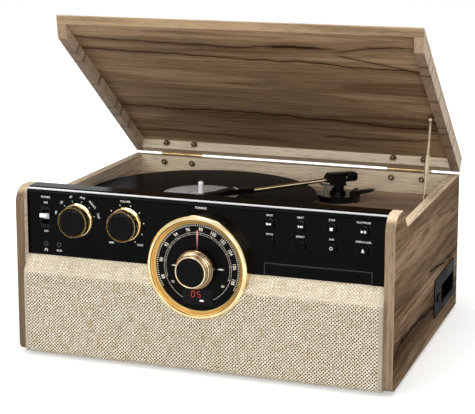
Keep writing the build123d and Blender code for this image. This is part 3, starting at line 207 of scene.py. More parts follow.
# ------------ bottom board and speaker board
# Bare fibreboard, pressed from brown fibres a few millimetres long and sanded, so it is dull and
# blotchy. The bottom board is screwed to the sides, and the speaker board is glued between them.
fibreboard, place = new_material("pressed_fibreboard")
fibres = add(fibreboard, "TexNoise", {"Vector": place, "Scale": 700, "Detail": 5})
blotches = add(fibreboard, "TexNoise", {"Vector": place, "Scale": 40, "Detail": 3})
speckle = add(fibreboard, "Mix", {0: fibres, 6: "#5c4630", 7: "#8a6d4c"})
tone = add(fibreboard, "Mix", {0: blotches, 6: speckle, 7: "#705637"})
bump = add(fibreboard, "Bump", {"Height": fibres, "Strength": 0.3, "Distance": 0.0003})
finish(fibreboard, "BsdfPrincipled", {"Base Color": tone, "Roughness": 0.85, "Normal": bump})
dress(fibreboard, "bottom_panel", "speaker_baffle")

# ------------ feet and drive belt
# Moulded black rubber, matt and a little dusty. The feet are pressed into the bottom board, and the
# belt runs round the platter and the motor's pulley.
rubber, place = new_material("moulded_rubber")
dust = add(rubber, "TexNoise", {"Vector": place, "Scale": 260, "Detail": 4})
tone = add(rubber, "Mix", {0: dust, 6: "#141414", 7: "#2b2a28"})
bump = add(rubber, "Bump", {"Height": dust, "Strength": 0.2, "Distance": 0.0003})
finish(rubber, "BsdfPrincipled", {"Base Color": tone, "Roughness": 0.8, "Normal": bump})
dress(rubber, "rubber_feet", "drive_belt")

# ------------ lid
# Fibreboard top and three rims in the same walnut foil, glued at mitres. The front edges are bevelled
# and banded in a paler strip.
lid_range = next(j for j in frame["record"]["behaviour"]["joints"] if j["name"] == "lid_hinge")["range_deg"]
lean = radians(lid_range[1])
lid_front = (0, -cos(lean), sin(lean))
lid_under = (0, -sin(lean), -cos(lean))
lid_veins = [
    (-0.24, 0.13, -0.254, 0.055, -0.1, 0.0008), (-0.24, 0.24, -0.222, -0.01, 0.12, 0.0013),
    (-0.24, 0.24, -0.075, -0.02, 0.16, 0.0016), (0.03, 0.13, -0.25, 0.02, 0, 0.0019),
    (0.112, 0.24, -0.238, 0.3, 0.8, 0.0009), (0.112, 0.24, -0.24, -0.4, 2.2, 0.0008),
    (-0.24, 0.02, -0.007, 0.03, 0, 0.0008), (0.05, 0.24, -0.015, -0.05, 0, 0.0009)]
# Its front edge takes the paler banding; its right side takes a paler colour, which is painted light.
lid_foil = walnut_foil(
    "walnut_foil_lid", 0, 1.4, ("#2a1404", "#67503a", "#ac9070"),
    [(lid_front, "#bfa585", 0.8), ((1, 0, 0), "#dfc8ad", 0.85)], lean, lid_veins, 1, level=0.064)
dress(lid_foil, "lid_top_panel")
# The rims are wrapped across: their grain and their cracks run up and down the rim.
rim_veins = [(-1, 1, place, 0, 0, 0.0007) for place in (-0.235, -0.213, -0.152, -0.088, -0.071, -0.037)]
# The undersides take a darker colour, which is painted shade, and the right sides a paler one, which is
# painted light; the front edges take the banding.
rim_foil = walnut_foil(
    "walnut_foil_rims", 2, 5.2, ("#33251a", "#6d5846", "#a18970"),
    [(lid_front, "#c2a684", 0.85), (lid_under, "#77624d", 0.5), ((1, 0, 0), "#dcc4a8", 0.85)], lean,
    rim_veins, 1)
dress(rim_foil, "lid_rim_left", "lid_rim_right")
# Its inner face, toward the lid's front, takes a very pale colour: painted light.
rear_rim_foil = walnut_foil(
    "walnut_foil_lid_rear", 0, 9.2, ("#6a543f", "#b09a7e", "#e2cdae"), [(lid_front, "#fdf0d8", 0.7)], lean)
dress(rear_rim_foil, "lid_rim_rear")

# ------------ hinges
# Two butt hinges of pressed brass, lacquered, so that they shine dully. Through bolts clamp their
# leaves to the rear board and the lid's rear rim.


def worked_metal(name, colour, worn, roughness, direction=None, steps=()):
    """Solid metal with fine polishing marks and duller patches. steps are (distance, colour) pairs: the
    colour changes beyond each distance along the direction."""
    metal, place = new_material(name)
    marks = add(metal, "TexNoise", {"Vector": place, "Scale": 900, "Detail": 3})
    patches = add(metal, "TexNoise", {"Vector": place, "Scale": 55, "Detail": 4})
    wear = add(metal, "MapRange", [patches, 0.45, 0.75])
    tone = add(metal, "Mix", {0: wear, 6: colour, 7: worn})
    for distance, other in steps:
        reach = add(metal, "VectorMath", [place, direction], "DOT_PRODUCT")
        beyond = add(metal, "Math", [reach, distance], "GREATER_THAN")
        tone = add(metal, "Mix", {0: beyond, 6: tone, 7: other})
    dull = add(metal, "MapRange", [patches, 0, 1, roughness * 0.8, roughness * 1.5])
    bump = add(metal, "Bump", {"Height": marks, "Strength": 0.05, "Distance": 0.0001})
    return finish(metal, "BsdfPrincipled", {
        "Base Color": tone, "Metallic": 1, "Roughness": dull, "Normal": bump})


def furthest(name, direction):
    """How far a node reaches along a direction."""
    return max(v.co.dot(Vector(direction)) for v in node[name].data.vertices)


# Inside the case come a pale washer 0.8 mm thick, a bronzed nut 3 mm thick and the bolt's bright end.
for leaves, fixed_to, inward in (
        ("hinge_base_leaves", "rear_panel", (0, -1, 0)), ("hinge_lid_leaves", "lid_rim_rear", lid_front)):
    board_face = furthest(fixed_to, inward)
    steps = (
        (board_face - 0.001, "#d6c8ad"), (board_face + 0.0009, "#54452f"), (board_face + 0.0039, "#d9cba6"))
    dress(worked_metal("lacquered_brass_" + leaves, "#cdb585", "#a58a5c", 0.3, inward, steps), leaves)

# ------------ lid stay
# Pale brass rod with a sleeve and an eye at each end. It hangs from a bronzed bracket under the lid,
# and its pin runs in a slotted track screwed to the side board.
dress(worked_metal("pale_brass_rod", "#b3a28a", "#94846c", 0.4), "stay_arm", "stay_track")
dress(worked_metal("dark_bronze", "#4a3a2a", "#352a1f", 0.45), "stay_bracket")
# The motor, its pulley, the cue lift's bar and the screws are of zinc plated steel.
zinc_steel = worked_metal("zinc_plated_steel", "#b9bbbd", "#96989a", 0.3)
dress(zinc_steel, "motor", "motor_pulley", "cue_platform")

# ------------ cloth front
# Basket-weave linen in cream, stretched over the speaker board and stapled behind it. It wraps the
# lower edge and slopes back to the fascia, and the dial's ring clamps it round its opening.


def only(*pieces):
    """Selects these pieces alone and makes the first active. With none, deselects everything."""
    bpy.ops.object.select_all(action="DESELECT")
    for piece in reversed(pieces):
        piece.select_set(True)
        bpy.context.view_layer.objects.active = piece


def pick(piece, test, kind="faces"):
    """Selects the faces, edges or verts whose middle passes the test, in edit mode."""
    mesh = bmesh.from_edit_mesh(piece.data)
    for item in list(mesh.faces) + list(mesh.edges) + list(mesh.verts):
        item.select_set(False)
    for item in getattr(mesh, kind):
        corners = [item] if kind == "verts" else item.verts
        middle = sum((v.co for v in corners), Vector()) / len(corners)
        if test(middle, item):
            item.select_set(True)
    mesh.select_flush_mode()
    bmesh.update_edit_mesh(piece.data)


def opened(name, kind="FACE"):
    """Names the new primitive, puts its place into its mesh and opens it in edit mode."""
    piece = bpy.context.object
    piece.name = name
    bpy.ops.object.transform_apply()
    bpy.ops.object.mode_set(mode="EDIT")
    bpy.ops.mesh.select_mode(type=kind)
    return piece


def closed(angle):
    """Leaves edit mode and smooths the edges that turn by less than this many degrees."""
    bpy.ops.object.mode_set(mode="OBJECT")
    bpy.ops.object.shade_smooth_by_angle(angle=radians(angle))


cloth_low, cloth_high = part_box("grille_cloth")
low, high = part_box("dial_bezel")
dial = (low + high) / 2
dial.y = 0
dial_r = (high.x - low.x) / 2
crest_z, crest_r = 0.106, 0.004
bend_r = 0.008
opening_r = dial_r - 0.0045
fascia_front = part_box("control_fascia")[0].y
only()
size = cloth_high - cloth_low
bpy.ops.mesh.primitive_cube_add(size=1, location=(cloth_low + cloth_high) / 2, scale=size)
cloth = opened("linen_front")
bpy.ops.mesh.select_all(action="SELECT")
# Slope from the crest back to the fascia's lower edge.
rise = cloth_high.z - crest_z
run = fascia_front - cloth_low.y
bpy.ops.mesh.bisect(
    plane_co=(0, cloth_low.y, crest_z), plane_no=(0, -rise, run), clear_outer=True, use_fill=True)
bpy.ops.mesh.select_mode(type="EDGE")
pick(cloth, lambda c, e: c.y < cloth_low.y + 1e-5 and c.z < cloth_low.z + 1e-5, "edges")
bpy.ops.mesh.bevel(offset=bend_r, segments=8)
pick(cloth, lambda c, e: c.y < cloth_low.y + 1e-5 and abs(c.z - crest_z) < 1e-4, "edges")
bpy.ops.mesh.bevel(offset=crest_r, segments=4)
bpy.ops.mesh.select_mode(type="FACE")
pick(cloth, lambda c, f: f.normal.y > 0.5 or f.normal.z > 0.97)
bpy.ops.mesh.delete(type="FACE")
# Columns and rows close enough to follow the round opening.
for count, across in ((96, (1, 0, 0)), (26, (0, 0, 1))):
    for step in range(1, count):
        bpy.ops.mesh.select_all(action="SELECT")
        bpy.ops.mesh.bisect(plane_co=cloth_low + size * step / count, plane_no=across)
pick(cloth, lambda c, f: (c - dial).xz.length < opening_r)
bpy.ops.mesh.delete(type="FACE")
closed(40)
# The weave's own coordinates: distance across, and distance along the cloth from its lower back edge.
uv = cloth.data.uv_layers[0] if cloth.data.uv_layers else cloth.data.uv_layers.new(name="weave")
slope_angle = atan2(run, rise)
bend_y, bend_z = cloth_low.y + bend_r, cloth_low.z + bend_r
for corner in cloth.data.loops:
    point = cloth.data.vertices[corner.vertex_index].co
    under = max(0, point.y - bend_y)
    if point.z > crest_z:
        path = crest_z + (point.z - crest_z) / cos(slope_angle)
    elif point.z > bend_z:
        path = point.z
    else:
        path = bend_z - bend_r * atan2(bend_z - point.z, max(0, bend_y - point.y)) - under
    along = point.x + (point.y if abs(abs(point.x) - size.x / 2) < 1e-4 else 0)
    uv.data[corner.index].uv = (along, path)

# The holes between the threads lie in slanting rows 2.5 mm apart, drawn at 3 mm so that they show, and
# the threads stray a little from their course.
weave_pitch, stray = 0.003, 0.0022
linen, _ = new_material("basket_weave_linen")
threads = add(linen, "UVMap", uv_map=uv.name)
wander = add(linen, "TexNoise", {"Vector": threads, "Scale": 130, "Detail": 2})
drift = add(linen, "VectorMath", [wander.outputs[1], (stray, stray, 0)], "MULTIPLY")
bent = add(linen, "VectorMath", [threads, drift])
turned = add(linen, "Mapping", {
    "Vector": bent, "Rotation": (0, 0, radians(45)), "Scale": (2 / weave_pitch,) * 3})
split = add(linen, "SeparateXYZ", [turned])
warp = add(linen, "Math", [split.outputs[0], 1], "PINGPONG")
weft = add(linen, "Math", [split.outputs[1], 1], "PINGPONG")
hole = add(linen, "Math", [warp, weft], "MULTIPLY")
# Slubs: thicker, paler lengths of single threads, both ways, with dark ones among them.
slubs = []
for scale in ((1100, 55, 1), (55, 1100, 1)):
    length = add(linen, "Mapping", {"Vector": threads, "Scale": scale})
    slubs.append(add(linen, "TexNoise", {"Vector": length, "Scale": 1, "Detail": 2}))
slub = add(linen, "Math", slubs)
pale = add(linen, "MapRange", [slub, 0.8, 1.2])
thread = add(linen, "Mix", {0: pale, 6: "#b59f79", 7: "#fffae9"})
depth = add(linen, "Math", [hole, slub], "MULTIPLY")
open_gap = add(linen, "MapRange", [depth, 0.18, 0.38, 0, 1])
# The holes show the dark speaker board, darkened further with painted shade; on the slope they show a
# pale colour instead, which is painted light where the slope faces up.
height = add(linen, "SeparateXYZ", [threads])
slope_light_mask = add(linen, "MapRange", [height.outputs[1], crest_z - 0.002, crest_z + 0.001])
hole_shade_and_slope_light = add(linen, "Mix", {0: slope_light_mask, 6: "#2c1d0e", 7: "#b3a588"})
tone = add(linen, "Mix", {0: open_gap, 6: thread, 7: hole_shade_and_slope_light})
bump = add(linen, "Bump", {"Height": open_gap, "Strength": 0.5, "Distance": 0.0006}, invert=True)
finish(linen, "BsdfPrincipled", {
    "Base Color": tone, "Roughness": 0.9, "Sheen Weight": 0.15, "Normal": bump})
cloth.data.materials.append(linen)
dress(linen, "grille_cloth")
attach(cloth, "cabinet")
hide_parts("grille_cloth")

# ------------ fascia
# One ABS moulding, polished black, clipped between the side boards. It mirrors the room in its round
# top edge and hardly marks; the control names are printed on it in white.


def moulded(name, colours, roughness, grain, relief, level=0.5):
    """Injection-moulded plastic. grain is the surface texture's pitch in mm, relief its strength and
    level the share of light that it mirrors."""
    plastic, place = new_material(name)
    texture = add(plastic, "TexNoise", {"Vector": place, "Scale": 1000 / grain, "Detail": 2})
    smears = add(plastic, "TexNoise", {"Vector": place, "Scale": 24, "Detail": 5})
    tone = add(plastic, "Mix", {0: smears, 6: colours[0], 7: colours[1]})
    gloss = add(plastic, "MapRange", [smears, 0.3, 0.8, roughness * 0.85, roughness * 1.35])
    bump = add(plastic, "Bump", {"Height": texture, "Strength": relief, "Distance": 0.0002})
    return finish(plastic, "BsdfPrincipled", {
        "Base Color": tone, "IOR": 1.5, "Specular IOR Level": level, "Roughness": gloss, "Normal": bump})


fascia_abs = moulded("polished_black_abs", ("#040404", "#070707"), 0.12, 3, 0.01, 0.035)
polished = ["control_fascia", "cd_tray"] + [name for name in node if name.startswith("button_")]
dress(fascia_abs, *polished)
white_ink = moulded("white_screen_ink", ("#f4f4f2", "#ffffff"), 0.5, 0.8, 0.1)


def text(words, x, z, height, turn=0, font_width=1):
    """Lettering drawn flat, x across and z up, turned clockwise by this many degrees."""
    bpy.ops.object.text_add(location=(x, z, 0), rotation=(0, 0, -radians(turn)))
    letters = bpy.context.object
    letters.data.body = words
    capital_share = 0.69
    letters.data.size = height / capital_share
    letters.data.align_x = letters.data.align_y = "CENTER"
    letters.data.resolution_u = 3
    letters.data.offset = height * 0.006
    letters.scale.x = font_width
    bpy.ops.object.convert(target="MESH")
    return bpy.context.object


def bar(x, z, width, height, turn=0):
    """Flat rectangle, turned clockwise by this many degrees."""
    bpy.ops.mesh.primitive_plane_add(size=1, location=(x, z, 0), rotation=(0, 0, -radians(turn)))
    bpy.context.object.scale = (width, height, 1)
    return bpy.context.object


def wedge(x, z, radius, heading, stretch=1):
    """Flat triangle whose point faces this heading, in degrees clockwise from up."""
    bpy.ops.mesh.primitive_circle_add(
        vertices=3, radius=radius, fill_type="NGON", location=(x, z, 0), rotation=(0, 0, -radians(heading)))
    bpy.context.object.scale = (stretch, 1, 1)
    return bpy.context.object


def disc(x, z, radius):
    bpy.ops.mesh.primitive_circle_add(vertices=16, radius=radius, fill_type="NGON", location=(x, z, 0))
    return bpy.context.object


def printed(name, drawing, y, body, ink, thickness=0.00006, turn=0):
    """Joins flat pieces, stands them up facing the front at y and gives the ink its thickness. turn
    swings them round the middle of the part to another side."""
    only(*drawing)
    bpy.ops.object.transform_apply()
    bpy.ops.object.join()
    sheet = bpy.context.object
    sheet.name = name
    sheet.rotation_euler = (pi / 2, 0, turn)
    sheet.location = (-y * sin(turn), y * cos(turn), 0)
    bpy.ops.object.transform_apply()
    layer = sheet.modifiers.new("thickness", "SOLIDIFY")
    layer.thickness = thickness
    layer.offset = 1
    bpy.ops.object.modifier_apply(modifier="thickness")
    sheet.data.materials.clear()
    sheet.data.materials.append(ink)
    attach(sheet, body)


def middle_of(name):
    low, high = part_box(name)
    return (low + high) / 2


def round_place(centre, radius, bearing):
    """Point at this radius and bearing, in degrees clockwise from up, as x and z."""
    return centre.x + radius * sin(radians(bearing)), centre.z + radius * cos(radians(bearing))


switch, selector, volume = [middle_of(name) for name in ("toggle_body", "selector_knob", "volume_knob")]
mounts = {mount["name"]: Vector(mount["pos_m"]) for mount in frame["record"]["mounts"]}
head, aux = mounts["headphone_jack"], mounts["aux_jack"]
key_words = {
    "back": "BACK", "next": "NEXT", "stop": "STOP", "play": "PLAY/PAUSE", "prog": "PROG",
    "repeat": "REPEAT", "pair": "PAIR", "open": "OPEN/CLOSE"}
# Words, what they name, how far across and up from its middle they stand, and their height.
small = 0.0024
labels = [
    ("POWER", switch, 0, 0.0242, small), ("ON", switch, 0, 0.0175, small),
    ("OFF", switch, 0, -0.0178, small), ("AUX", aux, 0, -0.0072, small),
    ("VOLUME", volume, 0, 0.0275, 0.0023), ("MIN", volume, -0.0185, -0.0238, small),
    ("MAX", volume, 0.0185, -0.0238, small), ("TUNING", dial, 0, 0.0682, 0.0026)]
labels += [(words, middle_of("button_" + key), 0, 0.0099, 0.0021) for key, words in key_words.items()]
drawing = [text(words, at.x + across, at.z + up, height) for words, at, across, up, height in labels]
# Headphones: a band and two cushions.
band = Vector((head.x, 0, head.z - 0.0078))
for bearing in range(-80, 81, 20):
    drawing.append(bar(*round_place(band, 0.0017, bearing), 0.0006, 0.0007, bearing))
drawing += [bar(head.x + side * 0.0016, head.z - 0.0084, 0.0009, 0.0014) for side in (-1, 1)]
# Sources round the selector, each with a tick, and ten dots round the volume knob.
for name, bearing in zip(("FM", "CD", "BT", "AUX", "PHONO", "TAPE"), range(-75, 76, 30)):
    drawing.append(text(name, *round_place(selector, 0.0288, bearing), small, bearing, 0.9))
    drawing.append(bar(*round_place(selector, 0.0232, bearing), 0.0004, 0.0018, bearing))
drawing += [disc(*round_place(volume, 0.0236, -150 + 300 / 9 * k), 0.00065) for k in range(10)]
printed("fascia_printing", drawing, fascia_front, "cabinet", white_ink)

# ------------ keys
# Eight moulded ABS caps in polished black, each in its own hole with a rim round it. Most are printed
# with a white symbol. They press little switches on the control board.


def key_symbol(key, x, z):
    if key in ("back", "next"):
        way = -1 if key == "back" else 1
        arrows = [wedge(x + side * 0.0013, z, 0.0017, way * 90) for side in (-1, 1)]
        return [bar(x + way * 0.003, z, 0.0007, 0.0027)] + arrows
    if key == "stop":
        return [bar(x, z, 0.0034, 0.0034)]
    if key == "play":
        bars = [bar(x + across, z, 0.0008, 0.003) for across in (0.0013, 0.003)]
        return [wedge(x - 0.0015, z, 0.0019, 90)] + bars
    if key == "pair":
        key_middle, spokes = Vector((x, 0, z)), range(0, 360, 36)
        return [bar(*round_place(key_middle, 0.0016, turn), 0.0011, 0.0005, turn) for turn in spokes]
    if key == "open":
        return [wedge(x, z + 0.0007, 0.0019, 0), bar(x, z - 0.0013, 0.0034, 0.0007)]
    return []


def drawn_out(name, pivot, steps, angle):
    """Draws a new ring of edges out into a shell. Each step resizes the last edge and moves it."""
    shell = opened(name, "VERT")
    bpy.ops.mesh.select_all(action="SELECT")
    for resize, move in steps:
        bpy.ops.mesh.extrude_region_move()
        bpy.ops.transform.resize(value=resize, center_override=pivot)
        bpy.ops.transform.translate(value=move)
    bpy.ops.mesh.select_all(action="SELECT")
    bpy.ops.mesh.normals_make_consistent(inside=False)
    closed(angle)
    return shell


# A moulded rim stands 0.4 mm proud round each key: one ring with a rounded edge, copied seven times.
only()
first = middle_of("button_back")
low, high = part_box("button_back")
key_r = (high.x - low.x) / 2
pivot = (first.x, fascia_front, first.z)
bpy.ops.mesh.primitive_circle_add(
    vertices=64, radius=key_r + 0.0003, fill_type="NOTHING", rotation=(pi / 2, 0, 0), location=pivot)
profile = ((1, -0.0004), (1.02, -0.0001), (1.025, 0.0001), (1.01, 0.0004))
rim = drawn_out("rim_back", pivot, [((grow, 1, grow), (0, out, 0)) for grow, out in profile], 50)
rim.data.materials.append(moulded("rim_black_abs", ("#060606", "#0b0b0b"), 0.16, 2, 0.01, 0.12))
rims = []
for key in key_words:
    copy = rim
    if key != "back":
        copy = rim.copy()
        copy.data = rim.data.copy()
        copy.name = "rim_" + key
        bpy.context.collection.objects.link(copy)
        copy.location = middle_of("button_" + key) - first
        copy.location.y = 0
        only(copy)
        bpy.ops.object.transform_apply()
    rims.append(copy)
    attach(copy, "cabinet")

# A ledge 0.3 mm proud frames the disc tray on three sides. Its grey is a painted highlight, which draws
# light lines along the tray's edges.
ledge_highlight_abs = moulded("ledge_black_abs", ("#343436", "#444446"), 0.3, 2, 0.01, 0.05)
low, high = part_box("cd_tray")
drawing = [bar((low.x + high.x) / 2, high.z + 0.001, high.x - low.x + 0.0028, 0.0008)]
for x in (low.x - 0.001, high.x + 0.001):
    drawing.append(bar(x, (low.z + high.z) / 2 + 0.0004, 0.0008, high.z - low.z))
printed("tray_ledge", drawing, fascia_front, "cabinet", ledge_highlight_abs, 0.0003)

for key in key_words:
    centre = middle_of("button_" + key)
    drawing = key_symbol(key, centre.x, centre.z)
    if drawing:
        printed("symbol_" + key, drawing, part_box("button_" + key)[0].y, "key_" + key, white_ink)

# ------------ brass trim
# Spun brass, polished and lacquered: the dial's ring, the rings round the knobs and the tuning knob.
# It is warm and nearly mirror bright; the inner lip of the dial's ring is a redder gold.


def from_axis(material, place, axis, across=(1, 0, 1)):
    """How far a point lies from an axis, which crosses the directions that are 1 in across."""
    offset = add(material, "VectorMath", [place, axis], "SUBTRACT")
    flat = add(material, "VectorMath", [offset, across], "MULTIPLY")
    return add(material, "VectorMath", [flat], "LENGTH")


trim, place = new_material("polished_trim_brass")
marks = add(trim, "TexNoise", {"Vector": place, "Scale": 60, "Detail": 5})
wear = add(trim, "MapRange", [marks, 0.4, 0.75])
tone = add(trim, "Mix", {0: wear, 6: "#e6d2a2", 7: "#d3b883"})
radius = from_axis(trim, place, dial)
# Stepped lip: a dark groove, which is painted shade, a copper-gold band and a bright inner bead, which
# is a painted highlight. The outer wall is darker: painted shade.
for middle, half, colour in (
        (0.0568, 0.0006, "#3a2c16"), (0.0541, 0.0022, "#edb865"), (0.0526, 0.0006, "#f2dc98"),
        (0.0638, 0.0016, "#8b7c50")):
    ring = add(trim, "Math", [radius, middle, half], "COMPARE")
    tone = add(trim, "Mix", {0: ring, 6: tone, 7: colour})
# The lip inside the groove is brushed, so it stays bright all round.
lip = add(trim, "Math", [radius, 0.0563], "LESS_THAN")
dull = add(trim, "MapRange", [marks, 0, 1, 0.09, 0.22])
brushed = add(trim, "Math", [lip, 0.16, dull], "MULTIPLY_ADD")
metal_share = add(trim, "MapRange", [lip, 0, 1, 1, 0.75])
finish(trim, "BsdfPrincipled", {"Base Color": tone, "Metallic": metal_share, "Roughness": brushed})
dress(trim, "dial_bezel", "knob_rings")
# The tuning knob's side is turned in ribs 2.4 mm apart; painted shade darkens it between them, and a
# painted highlight lightens each rib.
ribbed, place = new_material("turned_knob_brass")
depths = add(ribbed, "SeparateXYZ", [place])
half_rib = 0.0012
rib = add(ribbed, "Math", [depths.outputs[1], half_rib], "PINGPONG")
rib_shade_and_highlight = add(ribbed, "MapRange", [rib, 0, half_rib])
marks = add(ribbed, "TexNoise", {"Vector": place, "Scale": 90, "Detail": 4})
shade = add(ribbed, "Mix", {0: marks, 6: "#6d5138", 7: "#8f7350"})
tone = add(ribbed, "Mix", {0: rib_shade_and_highlight, 6: shade, 7: "#d3bf9c"})
dull = add(ribbed, "MapRange", [marks, 0, 1, 0.1, 0.24])
finish(ribbed, "BsdfPrincipled", {"Base Color": tone, "Metallic": 1, "Roughness": dull})
dress(ribbed, "tuning_knob")

# ------------ dial
# Moulded face in matt black, printed with the station scale in cream, behind a pink pointer. A smoked
# window low in the face covers a lit number display.
dress(moulded("matt_dial_black", ("#030303", "#060606"), 0.35, 1.5, 0.02, 0.05), "dial_face")
dress(moulded("smoked_acrylic", ("#0b0809", "#100d0e"), 0.12, 3, 0.01, 0.08), "dial_display")
cream_ink = moulded("cream_screen_ink", ("#efe9d8", "#fbf7ea"), 0.5, 0.8, 0.1)
drawing = []
# Station marks and two fine rings of dashes, 3 degrees apart: how many, the first bearing, radius, width
# and height. The real marks are 1.8 mm apart, drawn at 2.6 mm so that they show.
for count, start, ring_r, width, height in (
        (80, -120, 0.0503, 0.0007, 0.0017), (102, -152, 0.0417, 0.0023, 0.00024),
        (73, -108, 0.0396, 0.0021, 0.0002)):
    for bearing in range(start, start + 3 * count, 3):
        drawing.append(bar(*round_place(dial, ring_r, bearing), width, height, bearing))
numerals = {
    88: -109, 90: -83, 92: -58, 94: -36, 96: -15, 98: 5, 100: 25, 102: 43, 104: 62, 106: 84, 108: 107}
for number, bearing in numerals.items():
    drawing.append(text(str(number), *round_place(dial, 0.0455, bearing), 0.0042, bearing, 0.85))
    drawing.append(bar(*round_place(dial, 0.0405, bearing), 0.0004, 0.0016, bearing))
# A pair of arrows on each side of the knob.
for side in (-1, 1):
    for way in (-1, 1):
        drawing.append(wedge(dial.x + side * 0.0286 + way * 0.0012, dial.z, 0.0022, way * 90, 0.62))
        drawing[-1].scale.y = 1.45
for number, bearing in (("75", -123), ("80", 123)):
    drawing.append(text(number, *round_place(dial, 0.037, bearing), 0.0028))
printed("dial_printing", drawing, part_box("dial_face")[0].y, "cabinet", cream_ink)

# Printed needle: pink at its tip and fading to plum towards the knob.
needle, place = new_material("pink_needle_paint")
out = add(needle, "MapRange", [from_axis(needle, place, dial), 0.024, 0.04])
grain = add(needle, "TexNoise", {"Vector": place, "Scale": 700})
tone = add(needle, "Mix", {0: out, 6: "#5a3842", 7: "#e79aa4"})
gloss = add(needle, "MapRange", [grain, 0, 1, 0.3, 0.5])
finish(needle, "BsdfPrincipled", {"Base Color": tone, "Roughness": gloss, "Specular IOR Level": 0.2})
dress(needle, "dial_pointer")

# Lit red segments and a small white mark show through the smoked window.
red_glow, _ = new_material("lit_red_segments")
finish(red_glow, "BsdfPrincipled", {
    "Base Color": "#8a1b12", "Roughness": 0.5, "Emission Color": "#ff4a34", "Emission Strength": 0.45})
window = middle_of("dial_display")
window_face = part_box("dial_display")[0].y


def digit(figure, x, z):
    """Seven-segment figure 9 mm high. A bar is across, up and upright."""
    bars = {
        "a": (0, 1, 0), "b": (1, 0.5, 1), "c": (1, -0.5, 1), "d": (0, -1, 0), "e": (-1, -0.5, 1),
        "f": (-1, 0.5, 1), "g": (0, 0, 0)}
    pieces = []
    for segment in {"0": "abcdef", "5": "acdfg"}[figure]:
        across, up, upright = bars[segment]
        size = (0.0007, 0.0028) if upright else (0.0026, 0.0007)
        pieces.append(bar(x + across * 0.0019, z + up * 0.0034, *size))
    return pieces


line_z = window.z + 0.0028
digits = digit("0", window.x - 0.0055, line_z) + digit("5", window.x + 0.0015, line_z)
printed("display_digits", digits, window_face, "cabinet", red_glow)
lamp = [bar(window.x + 0.0052, window.z - 0.0045, 0.0048, 0.002)]
printed("display_lamp", lamp, window_face, "cabinet", white_ink)

# ------------ knobs and switch
# Moulded black knobs with a satin top, pushed on their controls' shafts. The tuning knob is brass with
# a pressed-in black cap, and the power switch has a white paddle.
knob_abs = moulded("satin_black_abs", ("#030303", "#060607"), 0.22, 1, 0.02, 0.06)
dress(moulded("white_abs", ("#e9e7e2", "#f4f2ee"), 0.25, 1, 0.03), "toggle_lever")
dress(moulded("satin_switch_abs", ("#060606", "#0c0c0d"), 0.3, 1, 0.05, 0.1), "toggle_body")

# Each small knob is black with a thin brass edge. A knurled brass skirt is pressed over its sides: 60
# flutes cut in a thin tube, which flares a little towards the fascia.
flutes, skirt_length, skirt_middle = 60, 0.0115, 0.0083
flare, ridge = 1.035, 1.022
half_flute = pi / flutes
for body in ("selector", "volume"):
    name = body + "_knob"
    low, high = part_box(name)
    centre = (low + high) / 2
    rimmed, place = new_material("brass_rimmed_" + name)
    brass = add(rimmed, "MapRange", [from_axis(rimmed, place, centre), 0.0163, 0.0165])
    marks = add(rimmed, "TexNoise", {"Vector": place, "Scale": 90, "Detail": 4})
    shade = add(rimmed, "Mix", {0: marks, 6: "#c2a670", 7: "#e2cb98"})
    tone = add(rimmed, "Mix", {0: brass, 6: "#040404", 7: shade})
    gloss = add(rimmed, "MapRange", [marks, 0, 1, 0.12, 0.26])
    finish(rimmed, "BsdfPrincipled", {
        "Base Color": tone, "Metallic": brass, "Roughness": gloss, "Specular IOR Level": 0.06})
    dress(rimmed, name)

    only()
    skirt_r = (high.x - low.x) / 2 + 0.0003
    skirt_place = (centre.x, low.y + skirt_middle, centre.z)
    bpy.ops.mesh.primitive_cylinder_add(
        vertices=2 * flutes, radius=skirt_r, depth=skirt_length, end_fill_type="NOTHING",
        rotation=(pi / 2, 0, 0), location=skirt_place)
    skirt = opened("skirt_" + body, "VERT")
    pivot = (centre.x, low.y, centre.z)
    pick(skirt, lambda c, v: c.y > low.y + 0.01, "verts")
    bpy.ops.transform.resize(value=(flare, 1, flare), center_override=pivot)
    pick(skirt, lambda c, v: round(atan2(c.x - centre.x, c.z - centre.z) / half_flute) % 2 == 0, "verts")
    bpy.ops.transform.resize(value=(ridge, 1, ridge), center_override=pivot)
    bpy.ops.object.mode_set(mode="OBJECT")
    wall = skirt.modifiers.new("wall", "SOLIDIFY")
    wall.thickness = 0.0003
    wall.offset = 1
    rounding = skirt.modifiers.new("rounding", "BEVEL")
    rounding.width = 0.0001
    rounding.limit_method = "ANGLE"
    rounding.angle_limit = radians(60)
    bpy.ops.object.modifier_apply(modifier="wall")
    bpy.ops.object.modifier_apply(modifier="rounding")
    skirt.data.materials.append(trim)
    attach(skirt, body)

# Black cap pressed into the tuning knob, with a bevelled edge and a shallow dish.
only()
cap_place = (dial.x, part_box("tuning_knob")[0].y + 0.0009, dial.z)
bpy.ops.mesh.primitive_cylinder_add(
    vertices=96, radius=0.0172, depth=0.0012, rotation=(pi / 2, 0, 0), location=cap_place)
cap = opened("tuning_cap")
pick(cap, lambda c, f: f.normal.y < -0.9)
for inset, back in ((0.0008, -0.0002), (0.006, 0.0003)):
    bpy.ops.mesh.inset(thickness=inset)
    bpy.ops.transform.translate(value=(0, back, 0))
closed(30)
cap.data.materials.append(knob_abs)
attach(cap, "tuning")

# ------------ control board
# Glass fibre board in green lacquer with its copper tracks under it, screwed behind the fascia. The
# controls, key switches and jacks soldered to it are black, and show in their holes.
board, place = new_material("green_board_lacquer")
tracks = add(board, "TexVoronoi", {"Vector": place, "Scale": 180}, feature="DISTANCE_TO_EDGE")
track = add(board, "Math", [tracks, 0.08], "LESS_THAN")
tone = add(board, "Mix", {0: track, 6: "#15482f", 7: "#1f6040"})
where = add(board, "SeparateXYZ", [place])
front = add(board, "Math", [where.outputs[1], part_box("control_board")[1].y - 0.0018], "LESS_THAN")
tone = add(board, "Mix", {0: front, 6: tone, 7: "#0c0c0c"})
finish(board, "BsdfPrincipled", {"Base Color": tone, "Roughness": 0.35})
dress(board, "control_board")

